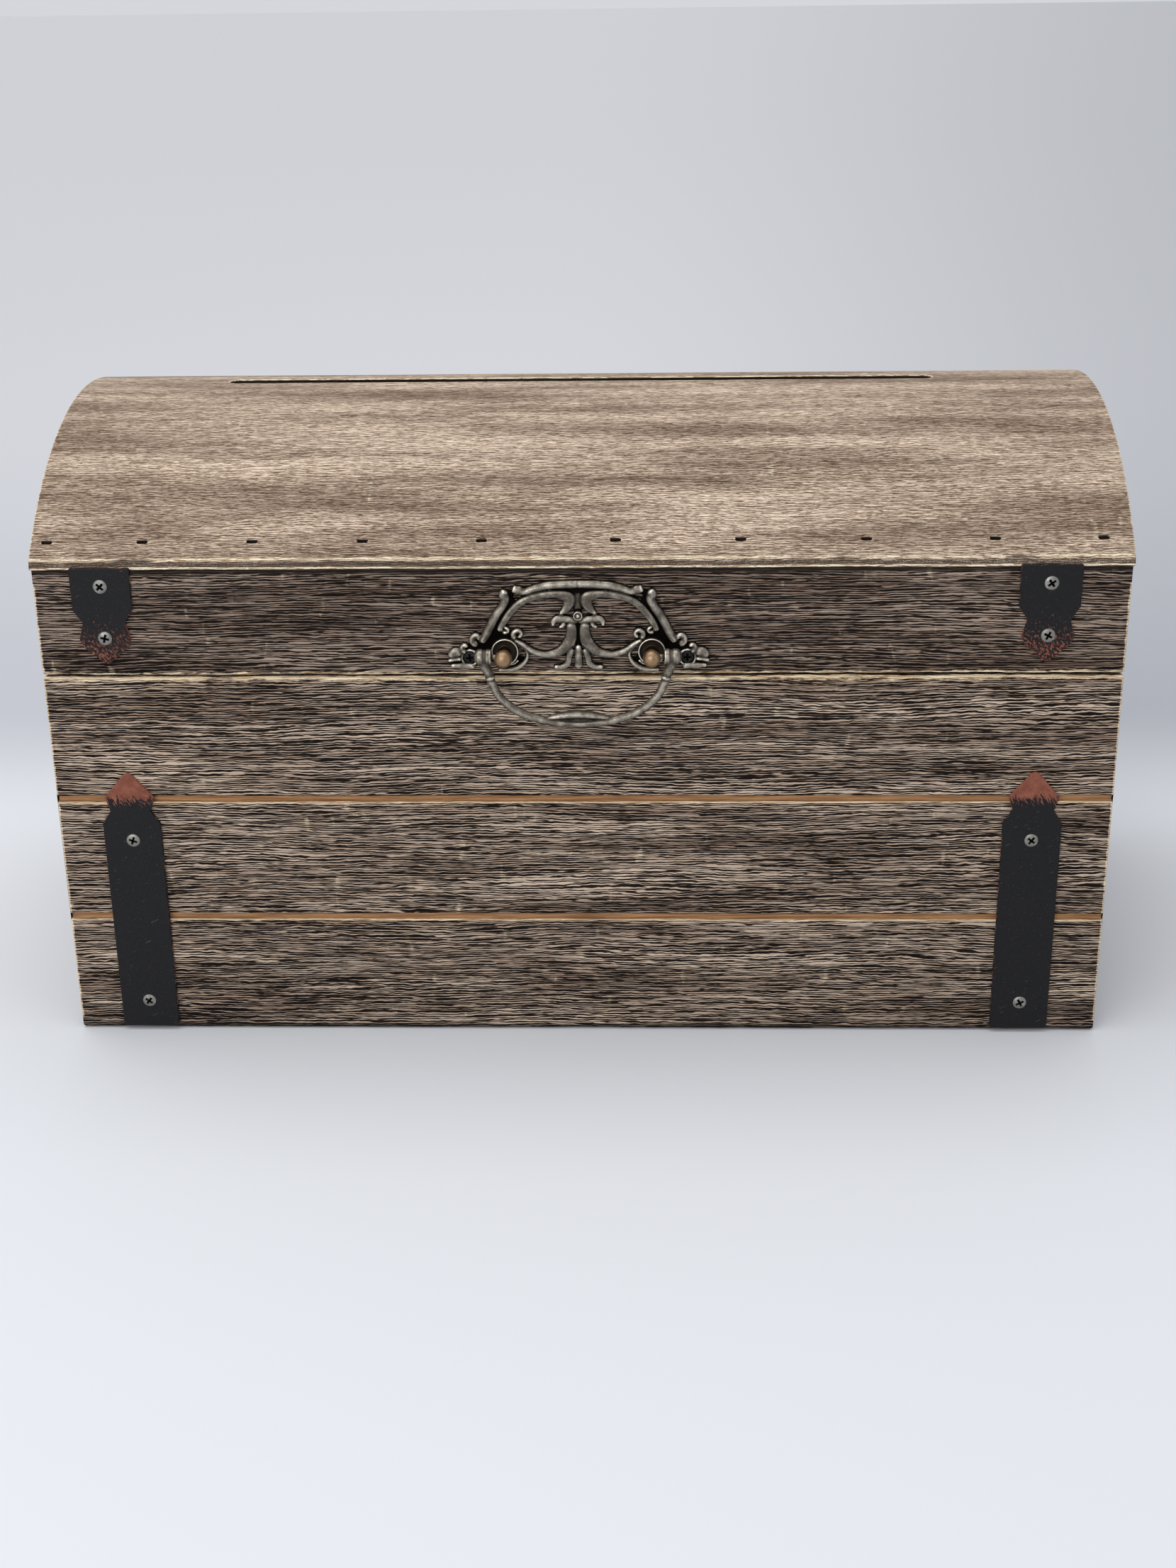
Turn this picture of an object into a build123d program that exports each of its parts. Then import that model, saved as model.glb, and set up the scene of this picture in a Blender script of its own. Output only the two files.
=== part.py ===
"""Arched-lid wooden wedding card box, as separate boards, straps, hinges and handle pieces.

Units are millimetres. +X runs along the box, +Y from the front to the back, +Z up.
The origin is the middle of the underside of the box body.
"""
from build123d import *

import os
from math import cos, radians, sin, sqrt

# ---- overall size ----
WIDTH = 380.0
DEPTH = 200.0
BODY_TOP = 139.8
LID_BOTTOM = 140.2
BOARD = 9.0
FLOOR_T = 4.0
EDGE_BEVEL = 1.0
FOOT_ROUND = 2.5

# ---- bent plywood lid ----
SKIN_T = 2.7
SKIN_OVERHANG = 0.5
SKIN_FRONT_Z = 182.5
APEX_Z = 226.2

# ---- routed plank lines ----
PLANK_LINES = (46.7, 93.3)
GROOVE_H = 2.3
GROOVE_DEEP = 1.5

# ---- card slot and the batten under its front edge ----
SLOT_LENGTH = 267.5
SLOT_WIDTH = 7.4
SLOT_X = -2.2
SLOT_Y = -0.5
SLOT_BEVEL = 0.6
BATTEN_W = 10.0
BATTEN_T = 5.0
BATTEN_BACK_Y = -5.0
STAPLE_X = (-72.5, -21.2, 46.5)
STAPLE_CROWN = 5.0
STAPLE_WIRE = 0.7
STAPLE_LEG = 6.0

# ---- brads along the long edges of the plywood ----
BRAD_X = (-184.7, -151.3, -112.9, -74.5, -33.2, 13.1, 56.2, 99.3, 143.3, 180.2)
BRAD_INSET = 5.0
BRAD_HEAD_L = 3.0
BRAD_HEAD_W = 1.1
BRAD_SINK = 0.6
BRAD_SHANK_R = 0.5
BRAD_LENGTH = 15.0

# ---- straps, outlines as (half width, height) from the top down ----
STRAP_T = 1.2
STRAP_BEVEL = 0.3
STRAP_CORNER_R = 0.7
STRAP_TIP_R = 2.0
LID_STRAP_X = (-166.0, 162.4)
BODY_STRAP_X = (-163.3, 161.7)
LID_STRAP_HALF = ((10.6, 179.6), (10.5, 164.6), (7.4, 159.9), (8.3, 156.6), (9.1, 153.9),
                  (7.5, 150.7), (4.6, 148.4))
LID_STRAP_TIP_Z = 144.4
BODY_STRAP_HALF = ((8.95, 94.3), (7.3, 89.0), (10.55, 84.1), (10.5, 1.7))
BODY_STRAP_TIP_Z = 104.6
LID_STRAP_SCREW_Z = (173.1, 154.4)
BODY_STRAP_SCREW_Z = (77.6, 12.4)

# ---- screws ----
SCREW_HEAD_R = 2.5
SCREW_HEAD_H = 1.4
SCREW_DOME = 0.5
SCREW_SHANK_R = 1.15
SCREW_LENGTH = 8.2
CROSS_WIDTH = 0.6
CROSS_SPAN = 2.8
CROSS_DEEP = 0.9

# ---- butt hinges on the back ----
HINGE_X = 110.0
HINGE_LENGTH = 38.0
HINGE_LEAF_H = 17.5
HINGE_LEAF_T = 1.2
HINGE_CORNER_R = 2.0
KNUCKLE_R = 2.5
KNUCKLE_COUNT = 5
KNUCKLE_GAP = 0.3
KNUCKLE_RELIEF = 3.0
HINGE_STANDOFF = 2.8
HINGE_PIN_R = 1.2
HINGE_PIN_RUNNING = 0.05
HINGE_PIN_HEAD_R = 1.9
HINGE_PIN_HEAD_T = 0.9
HINGE_SCREW_X = (-13.0, 0.0, 13.0)
HINGE_SCREW_Z = 10.5
HINGE_SCREW_HEAD_R = 2.1
HINGE_SCREW_SHANK_R = 0.95

# ---- bail handle ----
HANDLE_SCREW_X = 38.0
HANDLE_SCREW_Z = 147.0
HANDLE_SCREW_HEAD_R = 2.2
PLATE_RAISE = 0.5
PLATE_T = 1.7
RELIEF_T = 2.7
PIVOT_OUT = 8.5
PIVOT_Z = 149.5
POST_X = 25.6
POST_R = 2.3
POST_RIVET_R = 1.5
POST_BALL_R = 3.1
POST_BALL_OUT = 11.0
CUP_R = 4.8
CUP_OPENING_R = 4.3
CUP_LIP = 1.9
BAIL_PIN_R = 0.9
BAIL_PIN_RUNNING = 0.06
BAIL_PIN_END_X = 26.2
BAIL_BOSS_X = (30.0, 35.3)
BAIL_BOSS_R = 3.1
BAIL_ROD_R = 1.2
BAIL_NECK_R = 2.1
BAIL_COLLAR = (30.4, 141.6)
BAIL_COLLAR_R = 1.7
BAIL_COLLAR_T = 1.2
BAIL_BEND = (20.0, 129.0)
BAIL_BOTTOM_Z = 124.8
GRIP_LENGTH = 26.0
GRIP_HEIGHT = 4.6
GRIP_DEPTH = 4.4
GRIP_Z = 127.2

# ---- values that follow from the sizes above ----
FRONT_Y = -DEPTH / 2
BACK_Y = DEPTH / 2
INNER_X = WIDTH / 2 - BOARD
INNER_Y = DEPTH / 2 - BOARD
ARCH_RISE = APEX_Z - SKIN_FRONT_Z
ARCH_R = ((DEPTH / 2) ** 2 + ARCH_RISE ** 2) / (2 * ARCH_RISE)
ARCH_CENTRE_Z = APEX_Z - ARCH_R
ARCH_INNER_R = ARCH_R - SKIN_T
HINGE_AXIS_Y = BACK_Y + HINGE_STANDOFF
HINGE_AXIS_Z = (BODY_TOP + LID_BOTTOM) / 2
MARGIN = 5.0

TO_FRONT = Rot(90, 0, 0)
TO_BACK = Rot(-90, 0, 0)


# ---- general helpers ----

def block(x0, x1, y0, y1, z0, z1):
    """A box between two corners."""
    centre = Pos((x0 + x1) / 2, (y0 + y1) / 2, (z0 + z1) / 2)
    return centre * Box(x1 - x0, y1 - y0, z1 - z0)


def arch_cylinder(radius):
    """The round bar that the arched lid is cut from, running along X."""
    bar = Cylinder(radius, WIDTH + 4 * MARGIN, rotation=(0, 90, 0))
    return Pos(0, 0, ARCH_CENTRE_Z) * bar


def arch_height(y, radius):
    """The height of the arch of this radius above the table at depth y."""
    return ARCH_CENTRE_Z + sqrt(radius ** 2 - y ** 2)


def mirrored_outline(half, tip_z, tip_first):
    """A closed symmetric outline from its right-hand points and one tip on the middle line."""
    right = [(x, z) for x, z in half]
    left = [(-x, z) for x, z in reversed(half)]
    if tip_first:
        return [(0, tip_z)] + right + left
    return right + [(0, tip_z)] + left


def screw_blank(head_r, shank_r, length):
    """A raised countersunk screw without its cross recess, head up at Z = 0."""
    tip = 2 * shank_r
    rim = (head_r, 0)
    dome = ThreePointArc((0, SCREW_DOME), (head_r * 0.55, SCREW_DOME * 0.7), rim)
    rest = Polyline(rim, (shank_r, -SCREW_HEAD_H), (shank_r, tip - length), (0, -length),
                    (0, SCREW_DOME))
    profile = Rot(90, 0, 0) * make_face(dome.edges() + rest.edges())
    return revolve(profile, Axis.Z)


def cross_recess(head_r):
    """The cutter for a cross recess in a screw head."""
    span = CROSS_SPAN * head_r / SCREW_HEAD_R
    depth = CROSS_DEEP + SCREW_DOME
    bar = Box(span, CROSS_WIDTH, depth)
    return Pos(0, 0, SCREW_DOME - depth / 2) * (bar + Rot(0, 0, 90) * bar)


def screw_set(places, turn, head_r, shank_r, length):
    """Screw blanks for cutting holes, and the same screws with their recesses."""
    blank = screw_blank(head_r, shank_r, length)
    finished = blank - cross_recess(head_r)
    blanks = []
    screws = []
    for index, place in enumerate(places):
        spin = Rot(0, 0, 17.0 + 31.0 * index)
        blanks.append(Pos(*place) * turn * spin * blank)
        screws.append(Pos(*place) * turn * spin * finished)
    return blanks, screws


# ---- fasteners, made first because boards and plates are drilled with them ----

def strap_screw_places(strap_x, heights):
    """Screw places on the front of a pair of straps."""
    return [(x, FRONT_Y - STRAP_T, z) for x in strap_x for z in heights]


def hinge_screw_places(side):
    """Screw places on the back hinges: side -1 is the body leaf and +1 the lid leaf."""
    y = BACK_Y + HINGE_LEAF_T
    z = HINGE_AXIS_Z + side * HINGE_SCREW_Z
    return [(hand * HINGE_X + x, y, z) for hand in (-1, 1) for x in HINGE_SCREW_X]


def handle_screw_places():
    """Screw places at the two ends of the handle's backplate."""
    return [(hand * HANDLE_SCREW_X, FRONT_Y - PLATE_T, HANDLE_SCREW_Z) for hand in (-1, 1)]


def brad(x, y):
    """One headed brad, driven straight down, with its head just under the plywood face."""
    top = arch_height(y, ARCH_R) - BRAD_SINK
    head = Pos(x, y, top - BRAD_HEAD_W / 2) * Box(BRAD_HEAD_L, BRAD_HEAD_W, BRAD_HEAD_W)
    shank = Pos(x, y, top - BRAD_LENGTH / 2) * Cylinder(BRAD_SHANK_R, BRAD_LENGTH)
    return head + shank


def brad_pocket(x, y):
    """The small oval hole that a brad's head leaves above itself in the plywood."""
    top = arch_height(y, ARCH_R) - BRAD_SINK - BRAD_HEAD_W
    oval = SlotOverall(BRAD_HEAD_L + 1.0, BRAD_HEAD_W + 0.2)
    return Pos(x, y, top) * extrude(oval, 2 * MARGIN)


def staple(x):
    """One staple through the plywood into the batten, with its crown flush."""
    y = BATTEN_BACK_Y - BATTEN_W / 2
    top = arch_height(y, ARCH_R) - STAPLE_WIRE
    half = (STAPLE_CROWN - STAPLE_WIRE) / 2
    crown = Pos(x, y, top + STAPLE_WIRE / 2) * Box(STAPLE_CROWN, STAPLE_WIRE, STAPLE_WIRE)
    leg = Box(STAPLE_WIRE, STAPLE_WIRE, STAPLE_LEG)
    for side in (-1, 1):
        crown += Pos(x + side * half, y, top - STAPLE_LEG / 2) * leg
    return crown


# ---- box body ----

def front_or_back_panel(side):
    """The front (side -1) or back (side +1) board, with its routed plank lines."""
    outer = side * DEPTH / 2
    inner = side * INNER_Y
    panel = block(-WIDTH / 2, WIDTH / 2, min(outer, inner), max(outer, inner), 0, BODY_TOP)
    top = panel.faces().sort_by(Axis.Z)[-1]
    outer_top = top.edges().filter_by(Axis.X).sort_by(Axis.Y)[-1 if side > 0 else 0]
    panel = chamfer(outer_top, EDGE_BEVEL)
    outer_edges = panel.edges().filter_by(Axis.X).group_by(Axis.Z)[0]
    foot = outer_edges.sort_by(Axis.Y)[-1 if side > 0 else 0]
    panel = fillet(foot, FOOT_ROUND)
    uprights = panel.edges().filter_by(Axis.Z)
    outside = uprights.group_by(Axis.Y)[-1 if side > 0 else 0]
    panel = chamfer(outside, EDGE_BEVEL)
    for z in PLANK_LINES:
        line = block(-WIDTH, WIDTH, -GROOVE_DEEP, GROOVE_DEEP, z - GROOVE_H / 2, z + GROOVE_H / 2)
        panel -= Pos(0, outer, 0) * line
    return panel


def end_panel(side):
    """One end board, which stands between the front and back boards."""
    outer = side * WIDTH / 2
    inner = side * INNER_X
    panel = block(min(outer, inner), max(outer, inner), -INNER_Y, INNER_Y, 0, BODY_TOP)
    along = panel.edges().filter_by(Axis.Y)
    outside = along.group_by(Axis.X)[-1 if side > 0 else 0].sort_by(Axis.Z)
    panel = chamfer(outside[-1], EDGE_BEVEL)
    foot = panel.edges().filter_by(Axis.Y).group_by(Axis.Z)[0]
    panel = fillet(foot.sort_by(Axis.X)[-1 if side > 0 else 0], FOOT_ROUND)
    for z in PLANK_LINES:
        line = block(-GROOVE_DEEP, GROOVE_DEEP, -DEPTH, DEPTH, z - GROOVE_H / 2, z + GROOVE_H / 2)
        panel -= Pos(outer, 0, 0) * line
    return panel


def bottom_panel():
    """The plywood bottom, set between the four boards and flush with their feet."""
    return block(-INNER_X, INNER_X, -INNER_Y, INNER_Y, 0, FLOOR_T)


# ---- lid ----

def lid_rail(side):
    """The front (side -1) or back (side +1) lid board, its top cut to the arch."""
    outer = side * DEPTH / 2
    inner = side * INNER_Y
    top = ARCH_CENTRE_Z + ARCH_INNER_R
    rail = block(-WIDTH / 2, WIDTH / 2, min(outer, inner), max(outer, inner), LID_BOTTOM, top)
    foot = rail.edges().filter_by(Axis.X).group_by(Axis.Z)[0]
    rail = chamfer(foot.sort_by(Axis.Y)[-1 if side > 0 else 0], EDGE_BEVEL)
    uprights = rail.edges().filter_by(Axis.Z)
    rail = chamfer(uprights.group_by(Axis.Y)[-1 if side > 0 else 0], EDGE_BEVEL)
    return rail & arch_cylinder(ARCH_INNER_R)


def lid_end(side):
    """One arched lid end board, between the two lid rails."""
    outer = side * WIDTH / 2
    inner = side * INNER_X
    top = ARCH_CENTRE_Z + ARCH_INNER_R + MARGIN
    board = block(min(outer, inner), max(outer, inner), -INNER_Y, INNER_Y, LID_BOTTOM, top)
    foot = board.edges().filter_by(Axis.Y).group_by(Axis.Z)[0]
    board = chamfer(foot.sort_by(Axis.X)[-1 if side > 0 else 0], EDGE_BEVEL)
    return board & arch_cylinder(ARCH_INNER_R)


def card_slot():
    """The cutter for the long slot with its eased upper edge."""
    outline = SlotOverall(SLOT_LENGTH, SLOT_WIDTH)
    eased = SlotOverall(SLOT_LENGTH + 2 * SLOT_BEVEL, SLOT_WIDTH + 2 * SLOT_BEVEL)
    through = Pos(SLOT_X, SLOT_Y, APEX_Z - 2 * SKIN_T) * extrude(outline, 4 * SKIN_T)
    top = arch_height(SLOT_Y + SLOT_WIDTH / 2, ARCH_R)
    bevel = extrude(eased, -SLOT_BEVEL, taper=45)
    return through + Pos(SLOT_X, SLOT_Y, top) * (bevel + extrude(eased, SKIN_T))


def lid_top_panel():
    """The thin plywood sheet bent over the lid, with the card slot along its top."""
    length = WIDTH / 2 + SKIN_OVERHANG
    low = SKIN_FRONT_Z - 2 * SKIN_T
    sheet = block(-length, length, FRONT_Y, BACK_Y, low, APEX_Z + MARGIN)
    sheet = sheet & arch_cylinder(ARCH_R)
    sheet -= arch_cylinder(ARCH_INNER_R)
    return sheet - card_slot()


def slot_batten():
    """The strip under the front edge of the slot, from one lid end to the other."""
    top = ARCH_CENTRE_Z + ARCH_INNER_R
    front = BATTEN_BACK_Y - BATTEN_W
    strip = block(-INNER_X, INNER_X, front, BATTEN_BACK_Y, top - BATTEN_T, top + MARGIN)
    return strip & arch_cylinder(ARCH_INNER_R)


# ---- straps ----

def strap(outline):
    """A sheet-metal strap with softened corners and a small bevel round its face."""
    face = make_face(Polyline(*outline, close=True))
    middle = face.vertices().sort_by(lambda corner: abs(corner.X))
    face = fillet(middle[0], STRAP_TIP_R)
    corners = [corner for corner in face.vertices() if abs(corner.X) > STRAP_TIP_R]
    face = fillet(corners, STRAP_CORNER_R)
    plate = extrude(face, STRAP_T)
    return chamfer(plate.faces().sort_by(Axis.Z)[-1].edges(), STRAP_BEVEL)


def straps(strap_x, outline):
    """The left and right strap of one pair, lying on the front of the box."""
    plate = TO_FRONT * strap(outline)
    return [Pos(x, FRONT_Y, 0) * plate for x in strap_x]


# ---- hinges ----

def knuckle_spans(side):
    """Start and end along X of the knuckles of one leaf: -1 body, +1 lid."""
    pitch = HINGE_LENGTH / KNUCKLE_COUNT
    first = 0 if side < 0 else 1
    spans = []
    for index in range(first, KNUCKLE_COUNT, 2):
        start = -HINGE_LENGTH / 2 + index * pitch
        spans.append((start + KNUCKLE_GAP / 2, start + pitch - KNUCKLE_GAP / 2))
    return spans


def hinge_leaf(side):
    """One leaf about its own hinge axis; the wall it lies on is towards -Y."""
    wall = -HINGE_STANDOFF
    half = HINGE_LENGTH / 2
    low, high = sorted((side * KNUCKLE_RELIEF, side * HINGE_LEAF_H))
    plate = block(-half, half, wall, wall + HINGE_LEAF_T, low, high)
    corners = plate.edges().filter_by(Axis.Y).group_by(Axis.Z)[-1 if side > 0 else 0]
    leaf = fillet(corners, HINGE_CORNER_R)
    bore_r = HINGE_PIN_R if side < 0 else HINGE_PIN_R + HINGE_PIN_RUNNING
    low, high = sorted((0, side * KNUCKLE_RELIEF))
    for x0, x1 in knuckle_spans(side):
        barrel = Pos((x0 + x1) / 2, 0, 0) * Cylinder(KNUCKLE_R, x1 - x0, rotation=(0, 90, 0))
        leaf += barrel + block(x0, x1, wall, wall + HINGE_LEAF_T, low, high)
    return leaf - Cylinder(bore_r, 2 * HINGE_LENGTH, rotation=(0, 90, 0))


def hinge_pin():
    """The hinge pin with a low head at each end."""
    length = HINGE_LENGTH - KNUCKLE_GAP
    pin = Cylinder(HINGE_PIN_R, length, rotation=(0, 90, 0))
    head = Cylinder(HINGE_PIN_HEAD_R, HINGE_PIN_HEAD_T, rotation=(0, 90, 0))
    for side in (-1, 1):
        pin += Pos(side * (length + HINGE_PIN_HEAD_T) / 2, 0, 0) * head
    return pin


# ---- handle ----

def stroke(points, widths):
    """A flat scroll: a smooth band along the points whose width follows the list."""
    line = Spline(*points)
    steps = 2 * len(points)
    left = []
    right = []
    for index in range(steps + 1):
        t = index / steps
        along = line.tangent_at(t)
        here = line.position_at(t)
        slot = t * (len(widths) - 1)
        low = min(int(slot), len(widths) - 2)
        half = (widths[low] + (widths[low + 1] - widths[low]) * (slot - low)) / 2
        left.append((here.X - half * along.Y, here.Y + half * along.X))
        right.append((here.X + half * along.Y, here.Y - half * along.X))
    sides = Spline(*left).edges() + Spline(*right).edges()
    ends = Line(left[0], right[0]).edges() + Line(left[-1], right[-1]).edges()
    return make_face(sides + ends)


def dot(x, z, radius):
    """A round lobe of the backplate."""
    return Pos(x, z) * Circle(radius)


def relief_shapes():
    """The raised scrolls of the right half of the backplate, in width and unraised height."""
    rim = stroke([(-1, 173.1), (10, 172.5), (20, 170.4)], [2.8, 2.8, 2.8])
    arm = stroke([(24.4, 169.4), (28.2, 164.3), (31.4, 158), (33.6, 152.4)], [3.2, 3.7, 3.6, 3.0])
    inner = stroke([(3, 167.4), (8, 169.2), (14, 168.3), (20, 164.6), (24.7, 160.2), (26.9, 156.2)],
                   [4.4, 2.4, 2.3, 2.3, 2.3, 2.0])
    scroll = stroke([(21.4, 153.4), (18.6, 148.8), (13, 146.7), (7.4, 148.2), (3.4, 152.4), (1.8, 159)],
                    [1.8, 2.4, 3.0, 3.8, 4.6, 3.8])
    foot = stroke([(3.5, 150.5), (3.5, 145.2), (5.4, 142.8), (8.8, 143.4)], [1.9, 1.9, 1.9, 1.7])
    upper_horn = make_face(Polyline((-0.1, 169.4), (5.2, 169.2), (4.6, 166.4), (5, 164.6), (6.8, 162.2),
                                    (-0.1, 162), close=True))
    lower_horn = make_face(Polyline((-0.1, 161.3), (7.5, 161.2), (8.9, 157.4), (6.4, 158.6), (4.6, 157),
                                    (-0.1, 155.5), close=True))
    stem = make_face(Polyline((-0.1, 153), (1.3, 152), (1.3, 142.2), (-0.1, 142), close=True))
    lobes = [dot(21.9, 171.2, 1.75), dot(25.0, 169.9, 1.6), dot(35.0, 153.8, 2.2),
             dot(38.7, 150.6, 2.1), dot(25.0, 156.7, 1.5), dot(20.7, 154.9, 2.1), dot(0, 161.5, 1.9)]
    return [rim, arm, inner, scroll, foot, upper_horn, lower_horn, stem] + lobes


def web_shapes():
    """The thinner metal of the right half, which joins the scrolls and takes the screw."""
    crown = make_face(Polyline((-0.1, 172), (9, 171.8), (3, 166), (-0.1, 165), close=True))
    side = stroke([(25.4, 166), (28.6, 159.6), (29.2, 152)], [2.6, 3.6, 6.0])
    eye = stroke([(17.2, 147.2), (20.6, 144.2), (26, 142.8), (32.5, 144.6)], [1.6, 2.0, 2.2, 2.4])
    leaf = stroke([(26, 147.6), (33, 147.6), (39, 146.6), (43.2, 146)], [6.0, 7.0, 9.0, 6.2])
    return [crown, side, eye, leaf, dot(42.4, 146, 3.3),
            dot(POST_X, PIVOT_Z - PLATE_RAISE, CUP_R)]


def united(shapes):
    """Flat shapes of one half joined, mirrored and joined again."""
    half = shapes[0]
    for shape in shapes[1:]:
        half = half + shape
    return half + mirror(half, Plane.YZ)


def handle_backplate():
    """The openwork backplate with raised scrolls and a dished cup round each post."""
    relief = united(relief_shapes())
    plate = extrude(relief, RELIEF_T) + extrude(united(web_shapes()), PLATE_T)
    plate = Pos(0, PLATE_RAISE, 0) * plate
    dish_r = (CUP_OPENING_R ** 2 + CUP_LIP ** 2) / (2 * CUP_LIP)
    for side in (-1, 1):
        cup = Pos(side * POST_X, PIVOT_Z, 0)
        lip = Cylinder(CUP_R, PLATE_T + CUP_LIP, align=(Align.CENTER, Align.CENTER, Align.MIN))
        plate += cup * lip
        plate -= cup * Pos(0, 0, PLATE_T + dish_r) * Sphere(dish_r)
    for place in handle_screw_places():
        seat = Cylinder(HANDLE_SCREW_HEAD_R + 0.5, MARGIN, align=(Align.CENTER, Align.CENTER, Align.MIN))
        plate -= Pos(place[0], HANDLE_SCREW_Z, PLATE_T) * seat
    return Pos(0, FRONT_Y, 0) * TO_FRONT * plate


def handle_post(side):
    """A ball-ended post riveted through the backplate, bored for the bail's pin."""
    upright = (Align.CENTER, Align.CENTER, Align.MIN)
    shank = Cylinder(POST_RIVET_R, PLATE_T + MARGIN, align=upright)
    stem = Pos(0, 0, PLATE_T) * Cylinder(POST_R, POST_BALL_OUT - PLATE_T, align=upright)
    post = shank + stem + Pos(0, 0, POST_BALL_OUT) * Sphere(POST_BALL_R)
    post = Pos(side * POST_X, FRONT_Y, PIVOT_Z) * TO_FRONT * post
    end = BAIL_PIN_END_X - BAIL_PIN_RUNNING - 0.3
    far = BAIL_BOSS_X[0]
    bore = Cylinder(BAIL_PIN_R + BAIL_PIN_RUNNING, far - end, rotation=(0, 90, 0))
    return post - Pos(side * (end + far) / 2, FRONT_Y - PIVOT_OUT, PIVOT_Z) * bore


def bail_rod():
    """The bent round rod of the bail, hanging in the XZ plane, its left half mirrored."""
    bend_x, bend_z = BAIL_BEND
    rise = bend_z - BAIL_BOTTOM_Z
    bottom_r = (bend_x ** 2 + rise ** 2) / (2 * rise)
    lean = bend_x / bottom_r
    middle_z = BAIL_BOTTOM_Z + bottom_r - sqrt(bottom_r ** 2 - (bend_x / 2) ** 2)
    low = ThreePointArc((0, 0, BAIL_BOTTOM_Z), (bend_x / 2, 0, middle_z), (bend_x, 0, bend_z))
    side = TangentArc((bend_x, 0, bend_z), (BAIL_COLLAR[0], 0, BAIL_COLLAR[1]),
                      tangent=(sqrt(1 - lean ** 2), 0, lean))
    section = Plane(origin=(0, 0, BAIL_BOTTOM_Z), z_dir=(1, 0, 0)) * Circle(BAIL_ROD_R)
    half = sweep(section, path=Wire(low.edges() + side.edges()))
    return half + mirror(half, Plane.YZ)


def bail_ear(side):
    """One end of the bail: collar, tapered neck, barrel boss and the pin for the post."""
    foot = Vector(side * BAIL_COLLAR[0], 0, BAIL_COLLAR[1])
    boss_x = side * (BAIL_BOSS_X[0] + BAIL_BOSS_X[1]) / 2
    head = Vector(boss_x, 0, PIVOT_Z)
    rise = head - foot
    upright = (Align.CENTER, Align.CENTER, Align.MIN)
    neck_place = Plane(origin=foot, z_dir=rise).location
    neck = neck_place * Cone(BAIL_ROD_R, BAIL_NECK_R, rise.length, align=upright)
    ring = neck_place * Cylinder(BAIL_COLLAR_R, BAIL_COLLAR_T, align=upright)
    boss_l = BAIL_BOSS_X[1] - BAIL_BOSS_X[0]
    boss = Pos(boss_x, 0, PIVOT_Z) * Cylinder(BAIL_BOSS_R, boss_l, rotation=(0, 90, 0))
    boss = fillet(boss.edges().sort_by(Axis.X)[-1 if side > 0 else 0], 1.6)
    pin_l = BAIL_BOSS_X[0] - BAIL_PIN_END_X + 1
    pin_x = side * (BAIL_PIN_END_X + pin_l / 2)
    pin = Pos(pin_x, 0, PIVOT_Z) * Cylinder(BAIL_PIN_R, pin_l, rotation=(0, 90, 0))
    return neck + ring + boss + pin


def handle_bail():
    """The swinging bail with its leaf-shaped grip."""
    bail = bail_rod()
    for side in (-1, 1):
        bail += bail_ear(side)
    half = GRIP_LENGTH / 2
    outline = make_face(ThreePointArc((-half, 0), (0, GRIP_HEIGHT / 2), (half, 0)).edges()
                        + Line((half, 0), (-half, 0)).edges())
    grip = revolve(outline, Axis.X)
    grip = scale(grip, by=(1, GRIP_DEPTH / GRIP_HEIGHT, 1))
    bail += Pos(0, 0, GRIP_Z) * grip
    return Pos(0, FRONT_Y - PIVOT_OUT, 0) * bail


# ---- the whole box ----

def drilled(shape, cutters):
    """A shape with the given screws, brads or staples cut out of it."""
    for cutter in cutters:
        shape = shape - cutter
    return shape


def box_body():
    """The fixed body of the box, by node name."""
    blanks, screws = screw_set(strap_screw_places(BODY_STRAP_X, BODY_STRAP_SCREW_Z), TO_FRONT,
                               SCREW_HEAD_R, SCREW_SHANK_R, SCREW_LENGTH)
    hinge_blanks, hinge_screws = screw_set(hinge_screw_places(-1), TO_BACK, HINGE_SCREW_HEAD_R,
                                           HINGE_SCREW_SHANK_R, SCREW_LENGTH)
    outline = mirrored_outline(BODY_STRAP_HALF, BODY_STRAP_TIP_Z, True)
    left, right = straps(BODY_STRAP_X, outline)
    nodes = {
        "front_panel": drilled(front_or_back_panel(-1), blanks),
        "back_panel": drilled(front_or_back_panel(1), hinge_blanks),
        "left_end_panel": end_panel(-1),
        "right_end_panel": end_panel(1),
        "bottom_panel": bottom_panel(),
        "body_strap_left": drilled(left, blanks[:2]),
        "body_strap_right": drilled(right, blanks[2:]),
        "body_strap_screws": Compound(children=screws),
        "hinge_body_screws": Compound(children=hinge_screws),
    }
    for name, hand in (("left", -1), ("right", 1)):
        place = Pos(hand * HINGE_X, HINGE_AXIS_Y, HINGE_AXIS_Z)
        nodes[f"hinge_{name}_body_leaf"] = drilled(place * hinge_leaf(-1), hinge_blanks)
        nodes[f"hinge_{name}_pin"] = place * hinge_pin()
    return nodes


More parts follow.
